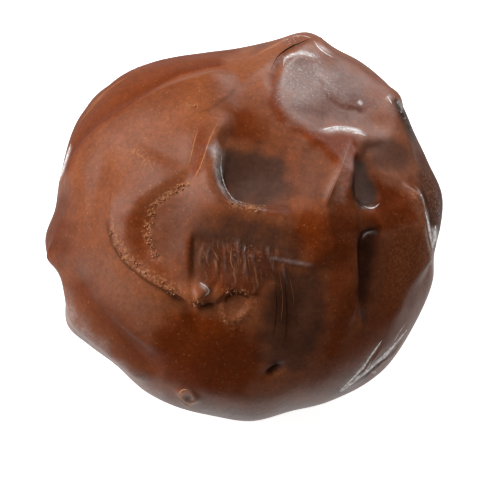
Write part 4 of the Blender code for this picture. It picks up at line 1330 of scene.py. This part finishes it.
class Threads:
    """Hair-thin folded edges, each a slim tube half sunk in the skin with a finish of its own; the threads
    are rubbed edges, painted highlights and painted shade lines.
    """

    def __init__(self, bm, layers):
        self.bm = bm
        self.layers = layers
        bmesh.ops.recalc_face_normals(bm, faces=bm.faces[:])
        self.tree = BVHTree.FromBMesh(bm)
        self.faces = bm.faces[:]
        self.draw = np.random.default_rng(37)

    def dropped(self, place, lift):
        """A vertex where (across, up) on the crown meets the skin, lifted so many mm, with its finish."""
        across, up, out = (Vector(row) for row in crown_axes())
        above = MIDDLE + (across * place[0] + up * place[1] + out * HIGH_ABOVE) * MM
        spot, normal, number, _ = self.tree.ray_cast(above, -out)
        if spot is None:
            return None
        vert = self.bm.verts.new(spot + normal * lift * MM)
        under = self.faces[number].verts[0]
        for layer in self.layers.values():
            vert[layer] = under[layer]
        return vert

    def lay(self, finish, places, amount, width):
        """Lays one thread along (across, up) places, so many mm wide on each side, tapered to its ends."""
        places = rounded(places)
        lengths = np.concatenate([[0], np.cumsum(np.linalg.norm(np.diff(places, axis=0), axis=1))])
        whole = lengths[-1]
        steps = np.linspace(0, whole, int(whole / THREAD_STEP) + 3)
        line = np.stack([np.interp(steps, lengths, column) for column in places.T], 1)
        ahead = unit(np.gradient(line, axis=0))
        aside = np.stack([ahead[:, 1], -ahead[:, 0]], 1)
        taper = np.sin(np.pi * np.clip(steps / whole, 0.02, 0.98)) ** 0.5
        knots = np.linspace(0, whole, int(whole / THREAD_KNOTS) + 2)
        wide = width * taper * np.interp(steps, knots, self.draw.uniform(*THREAD_WIDTHS, len(knots)))
        strays = self.draw.normal(0, width * THREAD_WAVER, len(knots))
        line += aside * np.interp(steps, knots, strays)[:, None]
        rings = []
        for place, side, half in zip(line, aside, wide):
            ring = [
                self.dropped(place - side * half, -THREAD_TUCKED),
                self.dropped(place, THREAD_HEIGHT * half),
                self.dropped(place + side * half, -THREAD_TUCKED),
                self.dropped(place, -THREAD_SUNK),
            ]
            if None not in ring:
                for vert in ring:
                    vert[self.layers["crease_shade"]] = 0.0
                    vert[self.layers[finish]] = amount
                    vert[self.layers["flake"]] = 1.0
                rings.append(ring)
        for ring, following in zip(rings, rings[1:]):
            for i in range(4):
                j = (i + 1) % 4
                self.bm.faces.new([ring[i], ring[j], following[j], following[i]])
        self.bm.faces.new(rings[0][::-1])
        self.bm.faces.new(rings[-1])


def fine_edges(bm, layers):
    """The hair-thin edges that the last folds left: painted highlights, painted shade lines and rubbed edges.
    """
    threads = Threads(bm, layers)
    # The painted highlight streaks on the lower right side
    threads.lay("painted_highlight", INNER_STREAK, amount=1.0, width=0.12)
    threads.lay("painted_highlight", OUTER_STREAK, amount=1.0, width=0.17)
    threads.lay("painted_highlight", [(9.6, -10.0), (9.1, -11.0), (8.0, -11.9)], amount=0.9, width=0.07)
    threads.lay("painted_highlight", [(11.3, -8.6), (11.7, -7.9), (12.2, -7.2)], amount=0.7, width=0.06)
    threads.lay("painted_highlight", [(9.75, -10.9), (9.62, -11.0)], amount=1.0, width=0.09)
    # The break of the far right layer, rubbed, with a painted highlight
    threads.lay("scuff", [(12.75, 3.15), (13.2, 2.55), (13.45, 1.8), (13.6, 1.0)], amount=1.0, width=0.1)
    threads.lay(
        "painted_highlight", [(13.6, 1.1), (13.75, 0.3), (13.95, -0.7), (14.2, -1.9)], amount=0.95, width=0.12
    )
    threads.lay(
        "scuff", [(13.5, 0.3), (13.6, -0.5), (13.85, -1.5), (14.1, -2.5), (14.2, -3.3)],
        amount=1.0, width=0.11
    )
    # The crumb near the foot, rubbed, with a painted highlight
    threads.lay("scuff", [(-4.9, -12.6), (-4.6, -12.2), (-4.2, -12.2)], amount=1.0, width=0.09)
    threads.lay(
        "scuff", [(-3.6, -12.9), (-3.8, -13.3), (-4.25, -13.6), (-4.7, -13.2), (-4.95, -12.7)],
        amount=1.0, width=0.11
    )
    threads.lay("painted_highlight", [(-4.85, -12.95), (-4.6, -13.35), (-4.3, -13.6)], amount=0.7, width=0.07)
    # The side beyond the broad left face, rubbed, and painted glints at both rims
    threads.lay("scuff", [(-12.0, 8.8), (-10.4, 10.4), (-8.8, 11.4)], amount=0.7, width=0.06)
    threads.lay("scuff", [(-12.6, 7.7), (-11.4, 9.3), (-9.8, 10.6)], amount=0.5, width=0.05)
    threads.lay(
        "painted_highlight", [(14.45, 0.1), (14.4, -0.5), (14.35, -1.0), (14.25, -1.6)], amount=1.0, width=0.17
    )
    threads.lay("painted_highlight", [(-13.95, 3.5), (-13.65, 4.7), (-13.1, 6.3)], amount=1.0, width=0.07)
    # Painted highlights on the rims of the right hollows
    threads.lay("painted_highlight", [(8.9, 1.55), (9.3, 1.35), (9.7, 1.4), (10.1, 1.75)], amount=1.0, width=0.06)
    threads.lay("painted_highlight", [(8.75, -0.9), (8.95, -0.5), (9.5, -0.35)], amount=0.5, width=0.04)
    # The folds between the swirl and the hollow, rubbed, and a painted highlight on the hollow's left wall
    threads.lay("scuff", [(-3.4, 7.3), (-3.7, 6.2), (-3.9, 5.2), (-4.3, 4.2)], amount=1.0, width=0.05)
    threads.lay(
        "scuff", [(-1.8, 8.0), (-2.5, 6.6), (-2.9, 5.4), (-3.3, 4.2), (-4.0, 3.2)], amount=1.0, width=0.06
    )
    threads.lay(
        "painted_highlight", [(-1.65, 5.3), (-1.75, 4.3), (-1.5, 3.1), (-1.0, 2.2), (-0.5, 1.8)],
        amount=0.8, width=0.05
    )
    threads.lay("scuff", [(7.82, 6.1), (7.0, 3.9), (6.1, 1.7)], amount=0.9, width=0.045)
    # The peak's folds: a painted shade line, painted highlights and rubbed edges
    threads.lay(
        "crease_shade", [(2.0, 11.7), (2.35, 12.6), (2.8, 13.1), (3.6, 13.65), (4.4, 14.0), (5.0, 14.3)],
        amount=1.0, width=0.07
    )
    threads.lay(
        "painted_highlight", [(2.95, 12.1), (3.0, 12.6), (3.4, 12.95), (4.0, 13.1), (4.8, 13.0), (5.3, 12.8)],
        amount=0.9, width=0.07
    )
    threads.lay("scuff", [(1.4, 13.3), (2.6, 14.0), (3.6, 14.4)], amount=0.8, width=0.05)
    threads.lay("scuff", [(0.9, 13.0), (1.9, 13.5), (3.0, 14.0)], amount=0.8, width=0.05)
    threads.lay("painted_highlight", [(3.7, 14.5), (4.5, 14.6), (5.1, 14.35)], amount=0.6, width=0.06)
    threads.lay("painted_highlight", [(5.3, 14.1), (5.6, 13.6), (6.1, 13.2), (6.8, 12.8)], amount=0.9, width=0.06)
    # Painted highlights on the swirl's tip, the ridge's top fold and the basin's rim
    threads.lay(
        "painted_highlight", [(-3.28, -4.14), (-2.77, -4.41), (-2.52, -4.82), (-2.97, -5.13)], amount=0.5, width=0.07
    )
    threads.lay("painted_highlight", [(5.9, 7.25), (6.6, 7.4), (7.3, 7.45), (7.9, 7.35)], amount=1.0, width=0.1)
    threads.lay("painted_highlight", [(8.1, 7.0), (8.6, 7.0), (9.15, 6.8)], amount=1.0, width=0.08)
    threads.lay("painted_highlight", [(10.8, 9.85), (11.0, 9.6), (11.15, 9.3)], amount=0.9, width=0.1)
    # The fibres of the wrinkled patch, rubbed, with one painted highlight
    threads.lay("scuff", [(-0.92, -1.44), (-1.03, -2.67), (-0.51, -3.49)], amount=0.8, width=0.045)
    threads.lay("scuff", [(-2.36, -1.64), (-1.74, -2.67)], amount=0.7, width=0.04)
    threads.lay("scuff", [(-2.97, -1.64), (-2.56, -3.08)], amount=0.5, width=0.04)
    threads.lay("scuff", [(0.35, -1.3), (0.25, -2.3), (0.45, -3.2)], amount=0.6, width=0.04)
    threads.lay("scuff", [(2.15, -2.05), (2.15, -2.8), (2.1, -3.4)], amount=0.4, width=0.05)
    threads.lay("painted_highlight", [(0.1, -1.4), (0.0, -1.85)], amount=0.3, width=0.06)
    # The fibres down the front face, rubbed, and painted shade lines beside them
    threads.lay("scuff", [(2.6, -3.4), (2.9, -5.2), (2.7, -7.4)], amount=0.35, width=0.05)
    threads.lay("scuff", [(3.2, -3.4), (3.6, -4.6), (3.7, -6.0)], amount=0.3, width=0.05)
    threads.lay("crease_shade", [(2.3, -4.0), (2.4, -6.0), (2.2, -8.2)], amount=0.8, width=0.06)
    threads.lay("crease_shade", [(3.0, -4.2), (3.2, -6.4), (3.0, -8.8)], amount=0.7, width=0.07)


def truffle():
    """The ball, from a cube's grid blown up to a sphere, shaped point by point and cut flat to rest."""
    bm = bmesh.new()
    bmesh.ops.create_cube(bm, size=2.0)
    bmesh.ops.subdivide_edges(bm, edges=bm.edges[:], cuts=SEGMENTS - 1, use_grid_fill=True)
    cube = np.array([v.co for v in bm.verts])
    skin = shaped(Skin(crowded(unit(np.tan(cube * math.pi / 4)))))
    skin.lumps(size=2.4, height=0.022, seed=8)
    skin.lumps(size=1.3, height=0.012, seed=9)
    for finished in (
        wrinkles, rubbed_edges, shaded_places, painted_warm_shade, smooth_pools, painted_crease_shade, painted_highlights,
        tiny_glints,
    ):
        finished(skin)
    for vert, place in zip(bm.verts, skin.points() * MM):
        vert.co = place
    layers = {name: bm.verts.layers.float.new(name) for name in Skin.FINISH}
    for name, amounts in skin.finish.items():
        for vert, amount in zip(bm.verts, amounts):
            vert[layers[name]] = amount
    whole = bm.verts[:] + bm.edges[:] + bm.faces[:]
    cut = bmesh.ops.bisect_plane(
        bm, geom=whole, dist=1e-7, plane_co=(0, 0, 0), plane_no=(0, 0, 1), clear_inner=True
    )
    rim = [e for e in cut["geom_cut"] if isinstance(e, bmesh.types.BMEdge)]
    bmesh.ops.contextual_create(bm, geom=rim)
    fine_edges(bm, layers)
    crumbs(bm, skin, layers)
    bmesh.ops.recalc_face_normals(bm, faces=bm.faces[:])
    mesh = bpy.data.meshes.new("chocolate_skin")
    bm.to_mesh(mesh)
    bm.free()
    mesh.shade_smooth()
    mesh.materials.append(set_chocolate())
    ball = bpy.data.objects.new("chocolate_skin", mesh)
    bpy.context.scene.collection.objects.link(ball)
    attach(ball, "root")
    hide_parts("truffle")


def pale_floor():
    """Pale and glowing to the camera, darker to light that bounces, and to the chocolate's reflections a
    glowing surface that is dark in front and bright behind, at the left and round the foot.
    """
    paint = Paint("pale floor")
    paint.feed(paint.finish["Base Color"], FLOOR_COLOUR)
    paint.feed(paint.finish["Emission Color"], (1, 1, 1))
    paint.feed(paint.finish["Emission Strength"], FLOOR_GLOW)
    paint.feed(paint.finish["Roughness"], FLOOR_ROUGHNESS)
    paint.feed(paint.finish["Specular IOR Level"], FLOOR_SHINE)
    place = paint.nodes.new("ShaderNodeSeparateXYZ")
    paint.feed(place.inputs["Vector"], paint.place)
    behind = paint.ramp(place.outputs["Y"], BEHIND_FROM * MM, BEHIND_TO * MM)
    left = paint.ramp(paint.maths("MULTIPLY", place.outputs["X"], -1.0), LEFT_FROM * MM, LEFT_TO * MM)
    mirrored = paint.mixed(behind, paint.mixed(left, FLOOR_BEFORE, FLOOR_LEFT), FLOOR_BEHIND)
    reach = paint.nodes.new("ShaderNodeVectorMath")
    reach.operation = "LENGTH"
    paint.feed(reach.inputs[0], paint.place)
    away = paint.ramp(reach.outputs["Value"], FOOT_FROM * MM, FOOT_TO * MM)
    gleam = paint.nodes.new("ShaderNodeEmission")
    paint.feed(gleam.inputs["Color"], paint.mixed(away, FLOOR_FOOT, mirrored))
    bounce = paint.nodes.new("ShaderNodeBsdfDiffuse")
    paint.feed(bounce.inputs["Color"], FLOOR_BOUNCE)
    ray = paint.nodes.new("ShaderNodeLightPath").outputs
    unseen = paint.either(ray["Is Glossy Ray"], bounce.outputs["BSDF"], gleam.outputs["Emission"])
    pale = paint.nodes["Principled BSDF"].outputs["BSDF"]
    seen = paint.either(ray["Is Camera Ray"], unseen, pale)
    paint.feed(paint.nodes["Material Output"].inputs["Surface"], seen)
    return paint.material


def floor():
    """The wide, level floor under the truffle."""
    bm = bmesh.new()
    bmesh.ops.create_grid(bm, x_segments=1, y_segments=1, size=FLOOR_HALF)
    mesh = bpy.data.meshes.new("floor")
    bm.to_mesh(mesh)
    bm.free()
    mesh.materials.append(pale_floor())
    plane = bpy.data.objects.new("floor", mesh)
    bpy.context.scene.collection.objects.link(plane)


def lamp(name, direction, size, strength, colour=(1, 1, 1)):
    """A square soft light. strength 1 shows a white face turned to it as white."""
    light = bpy.data.lights.new(name, "AREA")
    light.size = size
    light.energy = strength * math.pi**2 * LAMPS_AWAY**2
    light.color = colour
    towards = Vector(direction).normalized()
    place = bpy.data.objects.new(name, light)
    place.location = MIDDLE + towards * LAMPS_AWAY
    place.rotation_euler = (-towards).to_track_quat("-Z", "Y").to_euler()
    bpy.context.scene.collection.objects.link(place)


def studio():
    """A window and a bulb behind, a softbox at the left, weaker lights around, and dim surroundings."""
    lamp("window", (0.45, 0.85, 0.3), 0.30, WINDOW, (0.95, 0.97, 1.0))
    lamp("bulb", (0.42, 0.84, 0.34), 0.07, BULB)
    lamp("softbox", (-0.8, 0.1, 0.62), 0.36, SOFTBOX)
    lamp("fill", (0.1, -0.7, 0.75), 0.5, FILL)
    lamp("side", (0.85, 0.05, 0.5), 0.3, SIDE)
    lamp("overhead", (0.0, 0.35, 0.94), 0.2, OVERHEAD)
    world = bpy.data.worlds.new("studio")
    bpy.context.scene.world = world
    world.use_nodes = True
    background = world.node_tree.nodes["Background"]
    background.inputs["Color"].default_value = (1, 1, 1, 1)
    background.inputs["Strength"].default_value = SURROUNDINGS
    bpy.context.scene.view_settings.view_transform = "Standard"


def camera():
    """Looks down the crown's axis, framed as the photograph is."""
    across, up, out = (Vector(row) for row in crown_axes())
    pixel = MM / PIXELS_PER_MM
    lens = bpy.data.cameras.new("camera")
    lens.sensor_width = SENSOR
    lens.lens = SENSOR * CAMERA_AWAY / (PHOTO_WIDTH * pixel)
    view = bpy.data.objects.new("camera", lens)
    shift = across * PHOTO_SHIFT[0] + up * PHOTO_SHIFT[1]
    view.location = MIDDLE + shift * pixel + out * CAMERA_AWAY
    view.rotation_euler = Matrix((across, up, out)).transposed().to_euler()
    bpy.context.scene.collection.objects.link(view)
    bpy.context.scene.camera = view


truffle()
floor()
studio()
camera()
